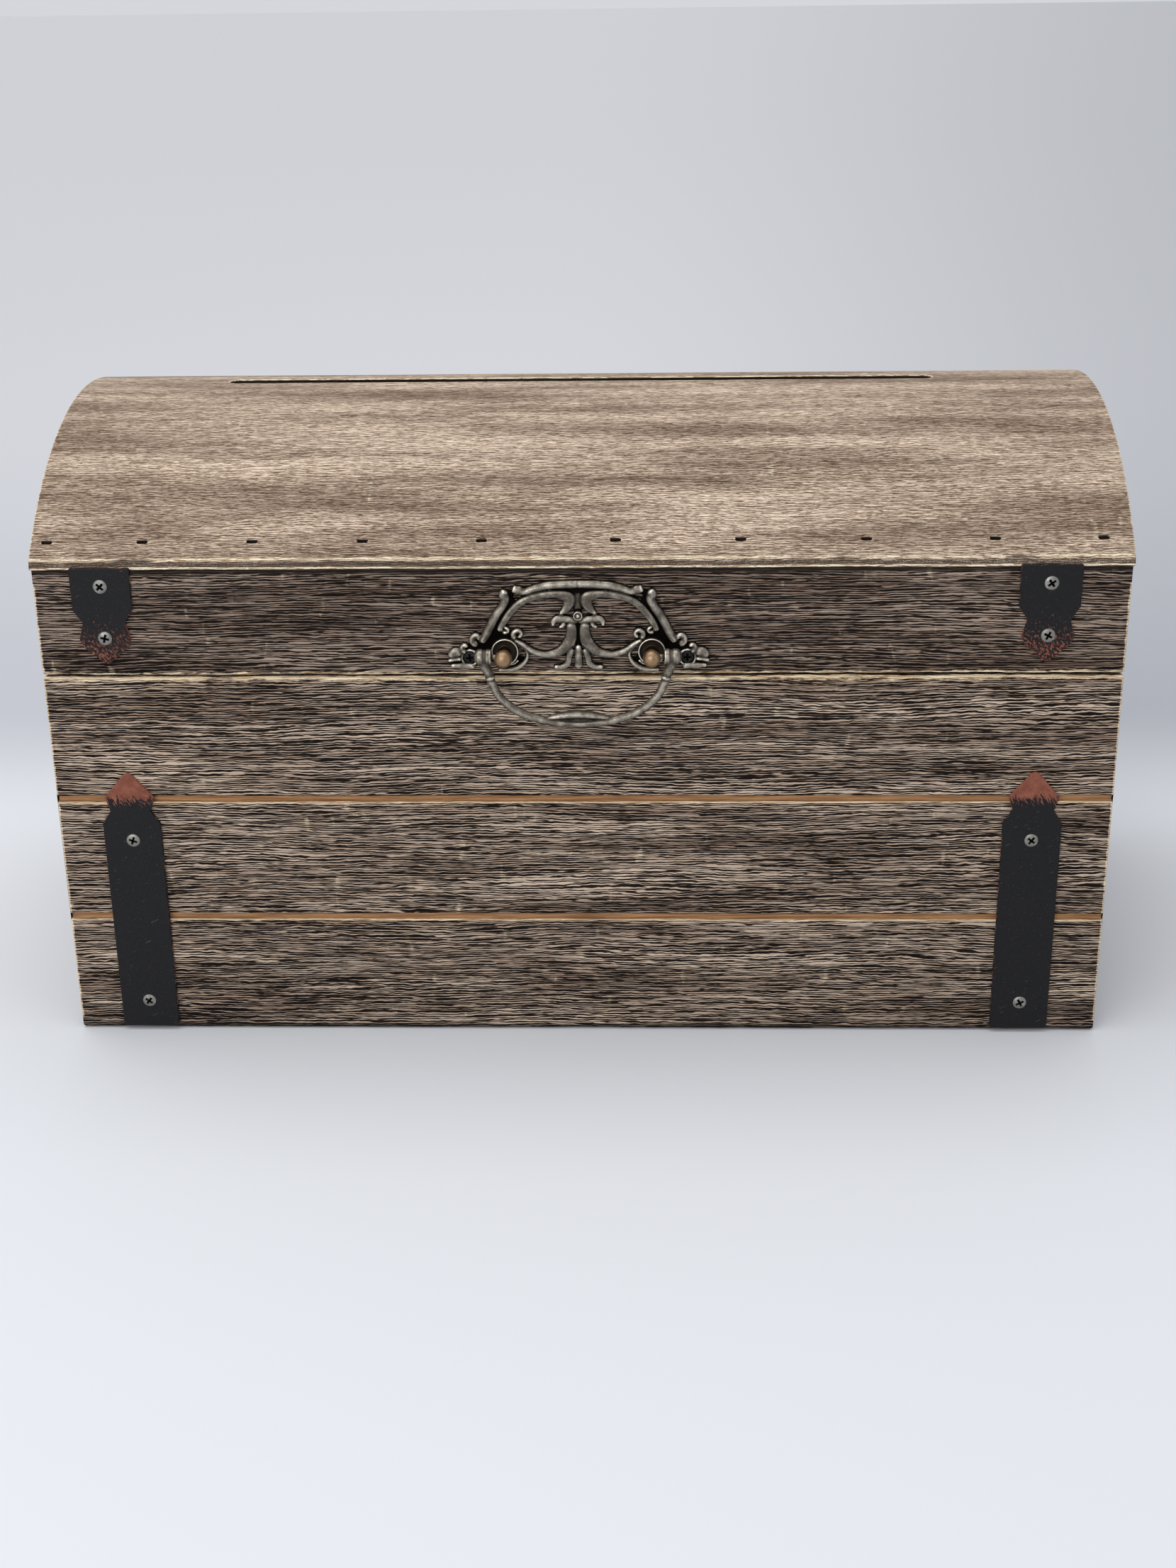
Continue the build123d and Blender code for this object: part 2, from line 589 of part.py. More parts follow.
def lid():
    """The lid and everything fixed to it, by node name."""
    blanks, screws = screw_set(strap_screw_places(LID_STRAP_X, LID_STRAP_SCREW_Z), TO_FRONT,
                               SCREW_HEAD_R, SCREW_SHANK_R, SCREW_LENGTH)
    hinge_blanks, hinge_screws = screw_set(hinge_screw_places(1), TO_BACK, HINGE_SCREW_HEAD_R,
                                           HINGE_SCREW_SHANK_R, SCREW_LENGTH)
    handle_blanks, handle_screws = screw_set(handle_screw_places(), TO_FRONT, HANDLE_SCREW_HEAD_R,
                                             SCREW_SHANK_R, SCREW_LENGTH)
    brads = {side: [brad(x, side * (DEPTH / 2 - BRAD_INSET)) for x in BRAD_X] for side in (-1, 1)}
    pockets = [brad_pocket(x, side * (DEPTH / 2 - BRAD_INSET)) for side in (-1, 1) for x in BRAD_X]
    staples = [staple(x) for x in STAPLE_X]
    outline = mirrored_outline(LID_STRAP_HALF, LID_STRAP_TIP_Z, False)
    left, right = straps(LID_STRAP_X, outline)
    nodes = {
        "lid_front_rail": drilled(lid_rail(-1), blanks + handle_blanks + brads[-1]),
        "lid_back_rail": drilled(lid_rail(1), hinge_blanks + brads[1]),
        "lid_left_end": lid_end(-1),
        "lid_right_end": lid_end(1),
        "lid_top_panel": drilled(lid_top_panel(), pockets + brads[-1] + brads[1] + staples),
        "slot_batten": drilled(slot_batten(), staples),
        "lid_front_brads": Compound(children=brads[-1]),
        "lid_back_brads": Compound(children=brads[1]),
        "slot_staples": Compound(children=staples),
        "lid_strap_left": drilled(left, blanks[:2]),
        "lid_strap_right": drilled(right, blanks[2:]),
        "lid_strap_screws": Compound(children=screws),
        "hinge_lid_screws": Compound(children=hinge_screws),
        "handle_screws": Compound(children=handle_screws),
    }
    for name, hand in (("left", -1), ("right", 1)):
        place = Pos(hand * HINGE_X, HINGE_AXIS_Y, HINGE_AXIS_Z)
        nodes[f"hinge_{name}_lid_leaf"] = drilled(place * hinge_leaf(1), hinge_blanks)
        nodes[f"handle_post_{name}"] = handle_post(hand)
    posts = [nodes["handle_post_left"], nodes["handle_post_right"]]
    nodes["handle_backplate"] = drilled(handle_backplate(), handle_blanks + posts)
    return nodes


def main():
    """Write every node as its own STEP file."""
    os.makedirs("parts", exist_ok=True)
    nodes = box_body()
    nodes.update(lid())
    nodes["handle_bail"] = handle_bail()
    for name, shape in nodes.items():
        export_step(shape, f"parts/{name}.step")
        print(name)


main()
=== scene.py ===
"""Looks of an arched-lid wooden wedding card box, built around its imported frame.

Lengths inside the classes are millimetres in the frame of the part: +X along the box, +Y from the
front to the back and +Z up. Meshes are turned into metres when they are made.
"""

import logging
import math
from dataclasses import dataclass, field
from enum import Enum
from typing import Callable, Sequence

import bmesh
import bpy
import numpy as np
from mathutils import Matrix, Vector


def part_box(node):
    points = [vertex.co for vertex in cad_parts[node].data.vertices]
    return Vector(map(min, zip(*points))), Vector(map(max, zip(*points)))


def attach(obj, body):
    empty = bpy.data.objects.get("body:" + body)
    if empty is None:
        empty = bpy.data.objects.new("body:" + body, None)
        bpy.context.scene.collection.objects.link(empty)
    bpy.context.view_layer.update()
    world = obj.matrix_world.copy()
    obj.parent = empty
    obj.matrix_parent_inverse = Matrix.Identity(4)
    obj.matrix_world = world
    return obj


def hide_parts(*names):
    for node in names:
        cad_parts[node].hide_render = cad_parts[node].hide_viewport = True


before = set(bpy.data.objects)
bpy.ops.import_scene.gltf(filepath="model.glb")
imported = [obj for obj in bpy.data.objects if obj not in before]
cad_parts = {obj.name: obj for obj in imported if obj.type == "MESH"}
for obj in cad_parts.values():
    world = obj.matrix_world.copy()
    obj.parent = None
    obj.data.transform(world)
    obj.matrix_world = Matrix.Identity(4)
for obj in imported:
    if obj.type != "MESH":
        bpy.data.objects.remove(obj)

LOG = logging.getLogger("card_box")
MM = 0.001
Colour = tuple[float, float, float, float]
Point = tuple[float, float]


def tone(red: int, green: int, blue: int) -> Colour:
    """Returns the linear colour of three display values from 0 to 255."""
    def linear(value: int) -> float:
        """Returns one display value as linear light."""
        share = value / 255
        return share / 12.92 if share <= 0.04045 else ((share + 0.055) / 1.055) ** 2.4
    return (linear(red), linear(green), linear(blue), 1.0)


def box_mm(node: str) -> tuple[Vector, Vector]:
    """Returns the lowest and highest corner of a frame node, in millimetres."""
    low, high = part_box(node)
    return low / MM, high / MM


# ---------------------------------------------------------------- sizes of the frame

@dataclass(frozen=True)
class BoxSizes:
    """The sizes that the boards share, read from the frame's nodes."""

    half_length: float
    half_depth: float
    board: float
    body_top: float
    lid_bottom: float
    skin_thickness: float
    arch_radius: float
    arch_centre: float
    plank_lines: tuple[float, float] = (46.7, 93.3)
    groove_height: float = 2.3
    groove_depth: float = 1.5

    @classmethod
    def from_frame(cls) -> "BoxSizes":
        """Works the sizes out from the nodes' boxes.

        Returns:
            The sizes in millimetres.
        """
        front_low, front_high = box_mm("front_panel")
        rail_low, rail_high = box_mm("lid_front_rail")
        _, skin_high = box_mm("lid_top_panel")
        _, end_high = box_mm("lid_left_end")
        half_depth = -front_low.y
        inner_top = end_high.z
        skin = skin_high.z - inner_top
        inner_radius = cls.radius_through(rail_high.z, front_high.y, inner_top)
        return cls(half_length=front_high.x, half_depth=half_depth, board=front_high.y - front_low.y,
                   body_top=front_high.z, lid_bottom=rail_low.z, skin_thickness=skin,
                   arch_radius=inner_radius + skin, arch_centre=inner_top - inner_radius)

    @staticmethod
    def radius_through(rail_top: float, rail_back: float, apex: float) -> float:
        """Returns the radius of the arch's underside, from a rail's highest edge and the apex."""
        drop = apex - rail_top
        return (rail_back ** 2 + drop ** 2) / (2 * drop)

    def arch_height(self, depth: float, inset: float = 0.0) -> float:
        """Returns the height of the arch at a depth, this far inside the outer skin."""
        radius = self.arch_radius - inset
        return self.arch_centre + math.sqrt(radius ** 2 - depth ** 2)


# ---------------------------------------------------------------- shader tools

class Value:
    """A shader number whose Python operators add Math nodes."""

    def __init__(self, shader: "Shader", socket: bpy.types.NodeSocket) -> None:
        """Keeps the shader and the socket that gives the number."""
        self.shader = shader
        self.socket = socket

    def __add__(self, other: "Value | float") -> "Value":
        """Returns the sum."""
        return self.shader.math("ADD", self, other)

    def __sub__(self, other: "Value | float") -> "Value":
        """Returns the difference."""
        return self.shader.math("SUBTRACT", self, other)

    def __rsub__(self, other: "Value | float") -> "Value":
        """Returns the other number minus this one."""
        return self.shader.math("SUBTRACT", other, self)

    def __mul__(self, other: "Value | float") -> "Value":
        """Returns the product."""
        return self.shader.math("MULTIPLY", self, other)

    def __truediv__(self, other: "Value | float") -> "Value":
        """Returns the quotient."""
        return self.shader.math("DIVIDE", self, other)

    def __rtruediv__(self, other: "Value | float") -> "Value":
        """Returns the other number divided by this one."""
        return self.shader.math("DIVIDE", other, self)

    def __pow__(self, other: "Value | float") -> "Value":
        """Returns this number to a power."""
        return self.shader.math("POWER", self, other)

    def __abs__(self) -> "Value":
        """Returns the size without its sign."""
        return self.shader.math("ABSOLUTE", self)

    __radd__ = __add__
    __rmul__ = __mul__

    def least(self, other: "Value | float") -> "Value":
        """Returns the smaller of two numbers."""
        return self.shader.math("MINIMUM", self, other)

    def most(self, other: "Value | float") -> "Value":
        """Returns the larger of two numbers."""
        return self.shader.math("MAXIMUM", self, other)

    def rise(self, low: float, high: float) -> "Value":
        """Returns 0 below low and 1 above high, with a smooth step between."""
        node = self.shader.node("ShaderNodeMapRange", {"interpolation_type": "SMOOTHSTEP"},
                                {"Value": self, "From Min": low, "From Max": high})
        return self.shader.value(node)

    def fall(self, low: float, high: float) -> "Value":
        """Returns 1 below low and 0 above high, with a smooth step between."""
        return 1 - self.rise(low, high)


class Shader:
    """One material's node tree, with short calls for what the finishes need."""

    def __init__(self, name: str) -> None:
        """Makes an empty material with a principled shader and an output."""
        self.material = bpy.data.materials.new(name)
        self.material.use_nodes = True
        self.tree = self.material.node_tree
        self.tree.nodes.clear()
        self.surface = self.node("ShaderNodeBsdfPrincipled")
        output = self.node("ShaderNodeOutputMaterial")
        self.tree.links.new(self.surface.outputs[0], output.inputs["Surface"])

    def node(self, kind: str, settings: dict | None = None, inputs: dict | None = None) -> bpy.types.Node:
        """Adds one node.

        Args:
            kind: The node's type.
            settings: The node's own properties, set before its sockets.
            inputs: Numbers, colours, values or sockets by socket name or index.

        Returns:
            The new node.
        """
        made = self.tree.nodes.new(kind)
        for key, setting in (settings or {}).items():
            setattr(made, key, setting)
        for key, given in (inputs or {}).items():
            source = given.socket if isinstance(given, Value) else given
            if isinstance(source, bpy.types.NodeSocket):
                self.tree.links.new(source, made.inputs[key])
            else:
                made.inputs[key].default_value = source
        return made

    def value(self, node: bpy.types.Node, output: int | str = 0) -> Value:
        """Returns one output of a node as a number."""
        return Value(self, node.outputs[output])

    def math(self, operation: str, *values: "Value | float") -> Value:
        """Returns the result of one Math node."""
        return self.value(self.node("ShaderNodeMath", {"operation": operation}, dict(enumerate(values))))

    def position(self) -> tuple[Value, Value, Value]:
        """Returns the place on the piece in millimetres, as three numbers."""
        place = self.node("ShaderNodeTexCoord")
        split = self.node("ShaderNodeSeparateXYZ", None, {0: place.outputs["Object"]})
        return tuple(self.value(split, axis) / MM for axis in range(3))

    def attribute(self, name: str) -> Value:
        """Returns a number stored on the mesh."""
        node = self.node("ShaderNodeAttribute", {"attribute_name": name})
        return self.value(node, "Fac")

    def noise(self, along: Value, across: Value, deep: Value, detail: float = 2.0,
              roughness: float = 0.5) -> Value:
        """Returns smooth noise from 0 to 1 at a place whose three numbers are in cells."""
        place = self.node("ShaderNodeCombineXYZ", None, {0: along, 1: across, 2: deep})
        made = self.node("ShaderNodeTexNoise", {"noise_dimensions": "3D"},
                         {"Vector": place.outputs[0], "Scale": 1.0, "Detail": detail,
                          "Roughness": roughness})
        return self.value(made)

    def specks(self, along: Value, across: Value, deep: Value) -> Value:
        """Returns the distance to the nearest of many scattered points, in cells."""
        place = self.node("ShaderNodeCombineXYZ", None, {0: along, 1: across, 2: deep})
        made = self.node("ShaderNodeTexVoronoi", {"feature": "F1"},
                         {"Vector": place.outputs[0], "Scale": 1.0})
        return self.value(made, "Distance")

    def mix(self, share: "Value | float", first: "Colour | bpy.types.NodeSocket",
            second: "Colour | bpy.types.NodeSocket", blend: str = "MIX") -> bpy.types.NodeSocket:
        """Returns the colour between two colours."""
        made = self.node("ShaderNodeMix", {"data_type": "RGBA", "blend_type": blend},
                         {0: share, 6: first, 7: second})
        return made.outputs[2]

    def relief(self, height: Value, millimetres: float) -> None:
        """Bumps the surface by a height whose full step is this many millimetres."""
        bump = self.node("ShaderNodeBump", None, {"Height": height, "Distance": millimetres * MM,
                                                  "Strength": 1.0})
        self.tree.links.new(bump.outputs[0], self.surface.inputs["Normal"])

    def finish(self, colour: "Colour | bpy.types.NodeSocket", roughness: "Value | float",
               metallic: float = 0.0, specular: float = 0.5) -> bpy.types.Material:
        """Sets the principled shader's main sockets.

        Args:
            colour: The surface's colour.
            roughness: The surface's roughness.
            metallic: 1 for bare metal.
            specular: The specular level.

        Returns:
            The finished material.
        """
        for name, given in (("Base Color", colour), ("Roughness", roughness)):
            source = given.socket if isinstance(given, Value) else given
            if isinstance(source, bpy.types.NodeSocket):
                self.tree.links.new(source, self.surface.inputs[name])
            else:
                self.surface.inputs[name].default_value = source
        self.surface.inputs["Metallic"].default_value = metallic
        self.surface.inputs["Specular IOR Level"].default_value = specular
        return self.material


# ---------------------------------------------------------------- finishes

class Grain(Enum):
    """Which way the grain of a board runs."""

    ALONG_BOX = "x"
    ALONG_DEPTH = "y"


class Place(Enum):
    """Which edges of the box a board's worn edges follow."""

    BODY = "body"
    LID = "lid"
    SKIN = "skin"


@dataclass(frozen=True)
class BrushedWood:
    """Burnt and brushed softwood with pale worn edges and routed plank lines."""

    name: str
    sizes: BoxSizes
    place: Place
    grain: Grain = Grain.ALONG_BOX
    seed: float = 0.0
    dark: Colour = tone(18, 11, 7)
    middle: Colour = tone(56, 43, 34)
    light: Colour = tone(196, 178, 161)
    edge: Colour = tone(228, 210, 178)
    routed: Colour = tone(186, 142, 100)
    raw: Colour = tone(206, 178, 138)
    # near-black colour of painted shade and painted shadows in gaps, recesses and at the foot
    painted_shade_tone: Colour = tone(26, 19, 14)
    line_pitch: float = 0.92
    dash: float = 13.0
    ripple: float = 0.34
    drift: float = 3.0
    sharp: float = 0.25
    banding: float = 0.30

    def material(self) -> bpy.types.Material:
        """Builds the material.

        Returns:
            The wood material.
        """
        shader = Shader(self.name)
        x, y, z = shader.position()
        along, across, deep = self.grain_place(shader, x, y, z)
        lines, broad = self.striations(shader, along, across, deep)
        colour = shader.mix(lines.rise(0.10, 0.52), self.dark, self.middle)
        colour = shader.mix(lines.rise(0.50, 0.94), colour, self.light)
        shade = shader.mix(broad, tone(186, 176, 169), tone(255, 252, 247))
        colour = shader.mix(1.0, colour, shade, "MULTIPLY")
        smear = shader.noise(along / 5.0, across / 13.0, deep / 9.0, 3.0).rise(0.645, 0.76)
        colour = shader.mix(smear * lines.rise(0.2, 0.7) * 0.55, colour, self.edge)
        chip = shader.noise(along / 6.0, across / 1.6, deep / 1.6, detail=4.0, roughness=0.68)
        pale = shader.mix(lines.rise(0.2, 0.6), tone(170, 142, 108), self.edge)
        if self.place is Place.BODY:
            colour = self.routed_lines(shader, colour, pale, x, y, z, chip)
        colour = shader.mix(self.edge_wear(shader, x, y, z, chip), colour, pale)
        # painted shade in gaps, slot walls, pockets and at the foot, and the sheet edge's own band
        colour = self.edge_band_and_painted_shade(shader, colour, x, y, z, chip)
        inside = self.inside(shader, x, y, z)
        bare = shader.mix(lines.rise(0.2, 0.8), tone(184, 152, 110), self.raw)
        colour = shader.mix(inside, colour, bare)
        shader.relief(lines.rise(0.0, 1.0) * (1 - 0.6 * inside), 0.13)
        return shader.finish(colour, 0.76 - 0.12 * lines, specular=0.12)

    def grain_place(self, shader: Shader, x: Value, y: Value, z: Value) -> tuple[Value, Value, Value]:
        """Turns a place into distances along, across and into the grain."""
        if self.place is Place.SKIN:
            up = z - self.sizes.arch_centre
            angle = shader.math("ARCTAN2", y, up)
            radius = shader.math("SQRT", y * y + up * up)
            return x + self.seed, angle * self.sizes.arch_radius, radius
        if self.grain is Grain.ALONG_DEPTH:
            return y + self.seed, z + x * 0.8 + self.seed, x
        return x + self.seed, z + y * 0.8 + self.seed, y

    def striations(self, shader: Shader, along: Value, across: Value, deep: Value) -> tuple[Value, Value]:
        """Makes the brushed grain lines and the broad light and dark bands.

        Returns:
            The fine lines and the broad bands, each from 0 to 1.
        """
        pitch = self.line_pitch
        bend = (shader.noise(along / 95.0, across / 22.0, deep / 30.0, 1.0) - 0.5) * (2 * self.drift)
        curl = (shader.noise(along / 3.2, across / 2.4, deep / 3.0, 1.0) - 0.5) * (2 * self.ripple)
        bent = across + bend + curl
        slip = shader.noise(along / (1.6 * self.dash), bent / (1.5 * pitch), deep / 3.0, 2.0, 0.6)
        row = shader.math("SINE", (bent / pitch + slip * 2.6) * math.tau) * 0.5 + 0.5
        fine = shader.noise(along / self.dash, bent / (0.42 * pitch), deep / 1.4, 2.0, 0.6)
        short = shader.noise(along / (0.25 * self.dash), bent / (0.35 * pitch), deep / 1.0, 1.0, 0.5)
        ring = shader.noise(along / 70.0, bent / (3.4 * pitch), deep / 8.0, 2.0, 0.6)
        broad = shader.noise(along / 120.0, bent / 11.0, deep / 20.0, 2.0).rise(0.30, 0.70)
        blend = 0.5 + (row - 0.5) * 0.46 + (fine - 0.5) * 0.85 + (short - 0.5) * 0.50 \
            + (ring - 0.5) * self.banding + (broad - 0.5) * 0.04
        return blend.rise(0.5 - self.sharp, 0.5 + self.sharp), broad

    def edge_wear(self, shader: Shader, x: Value, y: Value, z: Value, chip: Value) -> Value:
        """Returns 1 on the pale worn edges of the box and 0 away from them."""
        size = self.sizes
        from_end = size.half_length - abs(x)
        from_face = size.half_depth - abs(y)
        ragged = (chip - 0.5) * 3.0
        if self.place is Place.SKIN:
            depth = self.sheet_depth(shader, y, z)
            rim = (from_end + 0.5).least(from_face)
            face = (rim + ragged * 0.35).fall(0.15, 0.6).most((self.slot_distance(shader, x, y)
                                                               + ragged * 0.4).fall(0.45, 1.0))
            inner_ply = abs(depth - 2.25 + ragged * 0.12).fall(0.12, 0.34)
            side = (depth + ragged * 0.25).fall(0.3, 0.65).most(inner_ply)
            return face * depth.fall(0.3, 0.7) + rim.fall(0.2, 0.5) * depth.rise(0.3, 0.7) * side
        up = z - size.arch_centre
        radius = shader.math("SQRT", y * y + up * up)
        if self.place is Place.LID:
            rim = (z - size.lid_bottom) * 0.95
            upright = (size.arch_radius - size.skin_thickness - radius).rise(1.5, 4.0)
        else:
            rim = (size.body_top - z) * 0.62
            upright = z.rise(2.0, 5.0)
        corner = (from_end.most(from_face) * 1.35) + (1 - upright) * 4.0
        rim_only = from_end.least(from_face).most(rim)
        return (rim_only + ragged).fall(0.55, 1.25).most((from_end.least(from_face).most(corner)
                                                         + ragged * 0.8).fall(0.6, 1.2))

    def edge_band_and_painted_shade(self, shader: Shader, colour: bpy.types.NodeSocket, x: Value, y: Value, z: Value,
                   chip: Value) -> bpy.types.NodeSocket:
        """Paints shade: on the walls of the sheet's slot and nail pockets, as a shadow line under the sheet's
        rim, along the lid boards' tops under the sheet and at the body's foot; also gives the sheet's cut
        edge its grey-brown band.
        """
        size = self.sizes
        if self.place is Place.SKIN:
            depth = self.sheet_depth(shader, y, z)
            rim = (size.half_length + 0.5 - abs(x)).least(size.half_depth - abs(y)).fall(0.2, 0.5)
            # the sheet's cut edge keeps its own grey-brown band
            core = depth.rise(0.8, 1.05) * depth.fall(1.9, 2.15) * rim
            # painted shade on the walls of the slot and nail pockets
            wall = depth.rise(0.3, 0.5) * depth.fall(2.35, 2.5) * (1 - rim)
            speck = shader.noise(x / 0.5, y / 0.5, z / 0.3, 2.0).rise(0.35, 0.65)
            colour = shader.mix(core * (0.95 - 0.5 * speck), colour, tone(74, 64, 54))
            # painted shade on those walls and a painted shadow line along the underside of the sheet's rim
            return shader.mix(wall.most(depth.rise(2.45, 2.6) * rim), colour, self.painted_shade_tone)
        if self.place is Place.LID:
            # painted shadow along the tops of the lid boards, just under the sheet
            up = z - size.arch_centre
            gap = size.arch_radius - size.skin_thickness - shader.math("SQRT", y * y + up * up)
            return shader.mix((gap + (chip - 0.5) * 1.2).fall(0.5, 1.5) * 0.9, colour, self.painted_shade_tone)
        # painted shade at the foot of the body boards, whose lowest edge faces down
        return shader.mix((z + (chip - 0.5) * 1.6).fall(1.6, 3.0) * 0.8, colour, self.painted_shade_tone)

    def sheet_depth(self, shader: Shader, y: Value, z: Value) -> Value:
        """Returns how deep a place lies under the outer face of the bent sheet."""
        up = z - self.sizes.arch_centre
        return self.sizes.arch_radius - shader.math("SQRT", y * y + up * up)

    def slot_distance(self, shader: Shader, x: Value, y: Value) -> Value:
        """Returns the distance outside the card slot's rounded outline."""
        slot = CardSlot()
        straight = (abs(x - slot.centre_x) - (slot.length - slot.width) / 2).most(0.0)
        side = y - slot.centre_y
        return shader.math("SQRT", straight * straight + side * side) - slot.width / 2

    def routed_lines(self, shader: Shader, colour: bpy.types.NodeSocket, pale: bpy.types.NodeSocket,
                     x: Value, y: Value, z: Value, chip: Value) -> bpy.types.NodeSocket:
        """Colours the routed plank lines: tan wood, a painted shadow in the upper corner and a pale lower
        lip.
        """
        half = self.sizes.groove_height / 2
        low, high = self.sizes.plank_lines
        middle = (low + high) / 2
        upper = z.rise(middle - 0.1, middle + 0.1)
        offset = z - low - upper * (high - low)
        sunk = (self.sizes.half_depth - abs(y)).least(self.sizes.half_length - abs(x))
        tint = shader.noise(x / 22.0 + y / 22.0, z / 0.7, 0.0, detail=3.0)
        wood = shader.mix(tint.rise(0.3, 0.7), tone(140, 98, 62), self.routed)
        groove = (abs(offset) + (chip - 0.5) * 0.5).fall(half - 0.1, half + 0.2) * sunk.rise(0.1, 0.4)
        colour = shader.mix(groove, colour, wood)
        # painted shadow under the upper edge of each routed line
        shadow = offset.rise(half - 0.55, half - 0.15) * offset.fall(half + 0.15, half + 0.45)
        colour = shader.mix(shadow * 0.85, colour, self.painted_shade_tone)
        lip = abs(offset + half + 0.25 + (chip - 0.5) * 0.9).fall(0.15, 0.5) * sunk.fall(0.4, 0.8)
        return shader.mix(lip * 0.9, colour, pale)

    def inside(self, shader: Shader, x: Value, y: Value, z: Value) -> Value:
        """Returns 1 on the unfinished faces inside the box."""
        size = self.sizes
        if self.place is Place.SKIN:
            depth = self.sheet_depth(shader, y, z)
            within = (size.half_depth - abs(y)).least(size.half_length - abs(x)).rise(1.0, 1.4)
            clear = self.slot_distance(shader, x, y).rise(0.4, 0.8)
            return depth.rise(size.skin_thickness - 0.5, size.skin_thickness - 0.1) * within * clear
        within_x = (size.half_length - abs(x)).rise(size.board - 0.3, size.board - 0.1)
        within_y = (size.half_depth - abs(y)).rise(size.board - 0.3, size.board - 0.1)
        return within_x * within_y


@dataclass(frozen=True)
class BareWood:
    """Unfinished plywood and strips inside the box."""

    name: str
    pale: Colour = tone(214, 184, 142)
    deep: Colour = tone(184, 148, 104)

    def material(self) -> bpy.types.Material:
        """Builds the bare wood material."""
        shader = Shader(self.name)
        x, y, z = shader.position()
        drift = (shader.noise(x / 70.0, y / 20.0, z / 20.0, 2.0) - 0.5) * 12.0
        lines = shader.noise(x / 26.0, (y + drift) / 1.3, z / 1.3, 3.0, 0.6)
        colour = shader.mix(lines.rise(0.3, 0.7), self.deep, self.pale)
        shader.relief(lines, 0.06)
        return shader.finish(colour, 0.7 - 0.1 * lines, specular=0.3)


@dataclass(frozen=True)
class StrapPaint:
    """Satin black paint on sheet metal, rubbed to copper-brown at one end."""

    name: str
    copper_from: float
    copper_to: float
    full: float
    flecks: float
    face_depth: float
    black: Colour = tone(18, 18, 19)
    grey: Colour = tone(33, 33, 35)
    copper: Colour = tone(138, 84, 66)
    deep_copper: Colour = tone(112, 64, 50)

    def material(self) -> bpy.types.Material:
        """Builds the paint, whose copper grows from one height to another."""
        shader = Shader(self.name)
        x, y, z = shader.position()
        pebble = shader.noise(x / 0.45, z / 0.45, y / 0.45, 2.0)
        mottle = shader.noise(x / 3.0, z / 3.0, y / 3.0, 4.0, 0.7)
        share = (z - self.copper_from) / (self.copper_to - self.copper_from)
        slash = shader.noise((x + z * 0.5) / 0.55, (z - x * 0.3) / 2.6, y, 3.0, 0.65)
        ragged = (share + (slash - 0.5) * 1.9).rise(0.44, 0.56) * self.full
        fleck = shader.noise((x + z * 0.6) / 0.9, (z - x * 0.6) / 1.5, y / 1.3, 4.0, 0.75)
        zone = share.rise(-0.5, 0.9) * self.flecks
        ragged = ragged.most((fleck + zone).rise(0.70, 0.76))
        scratch = shader.noise((x + z * 0.4) / 6.0, (z - x * 0.5) / 0.22, y, 2.0).rise(0.73, 0.77)
        rim = (y - self.face_depth).rise(0.12, 0.3) * (mottle + share.rise(-0.2, 0.8) * 0.3).rise(0.50, 0.62)
        black = shader.mix(pebble.rise(0.3, 0.7) * 0.7 + 0.3 * mottle, self.black, self.grey)
        rub = shader.mix(mottle.rise(0.3, 0.7), self.deep_copper, self.copper)
        colour = shader.mix(ragged, black, rub)
        colour = shader.mix(rim * 0.7, colour, self.copper)
        dust = shader.noise(x / 0.35, z / 0.5, y, 1.0).rise(0.74, 0.80)
        colour = shader.mix((scratch * 0.55).most(dust * 0.4), colour, tone(150, 144, 138))
        shader.relief(pebble * 0.5 + ragged * -0.5, 0.08)
        return shader.finish(colour, 0.5 + 0.2 * pebble, specular=0.16)


@dataclass(frozen=True)
class AgedMetal:
    """Cast or turned metal with dark recesses, partly patina and partly painted shade, and rubbed high places
    that also carry a painted highlight.
    """

    name: str
    dark: Colour
    main: Colour
    bright: Colour
    stored_rub: bool = False
    grit: float = 0.5
    roughness: float = 0.36
    relief_mm: float = 0.05
    metallic: float = 1.0
    # depth behind which painted shade darkens the metal
    painted_shade_depth: float | None = None

    def material(self) -> bpy.types.Material:
        """Builds the metal; rubbed places come from the mesh where they are stored, with a painted highlight
        on proud places and painted shade in hollows.
        """
        shader = Shader(self.name)
        x, y, z = shader.position()
        cloud = shader.noise(x / 3.0, y / 3.0, z / 3.0, 4.0, 0.6)
        grain = shader.noise(x / self.grit, y / self.grit, z / self.grit, 3.0, 0.6)
        if self.stored_rub:
            # stored numbers: lighter on proud places as wear and painted highlight, darker in hollows as
            # patina and painted shade
            rub = shader.attribute("rub") + (cloud - 0.5) * 0.35 + (grain - 0.5) * 0.18
        else:
            rub = cloud * 0.7 + grain * 0.3
        if self.painted_shade_depth is not None:
            # painted shade: whatever lies behind this depth, nearer the box, such as a screw's cross recess
            # or the plate's low web, is darkened
            rub = rub - (y - self.painted_shade_depth).rise(0.0, 0.7) * 0.6
        colour = shader.mix(rub.rise(0.16, 0.46), self.dark, self.main)
        colour = shader.mix(rub.rise(0.52, 0.86), colour, self.bright)
        pit = shader.specks(x / 1.1, y / 1.1, z / 1.1).rise(0.10, 0.20)
        colour = shader.mix((1 - pit) * 0.7, colour, self.dark)
        shader.relief(grain * 0.6 + pit * 0.4, self.relief_mm)
        rough = self.roughness + 0.30 * (1 - rub.rise(0.3, 0.8))
        return shader.finish(colour, rough, metallic=self.metallic)


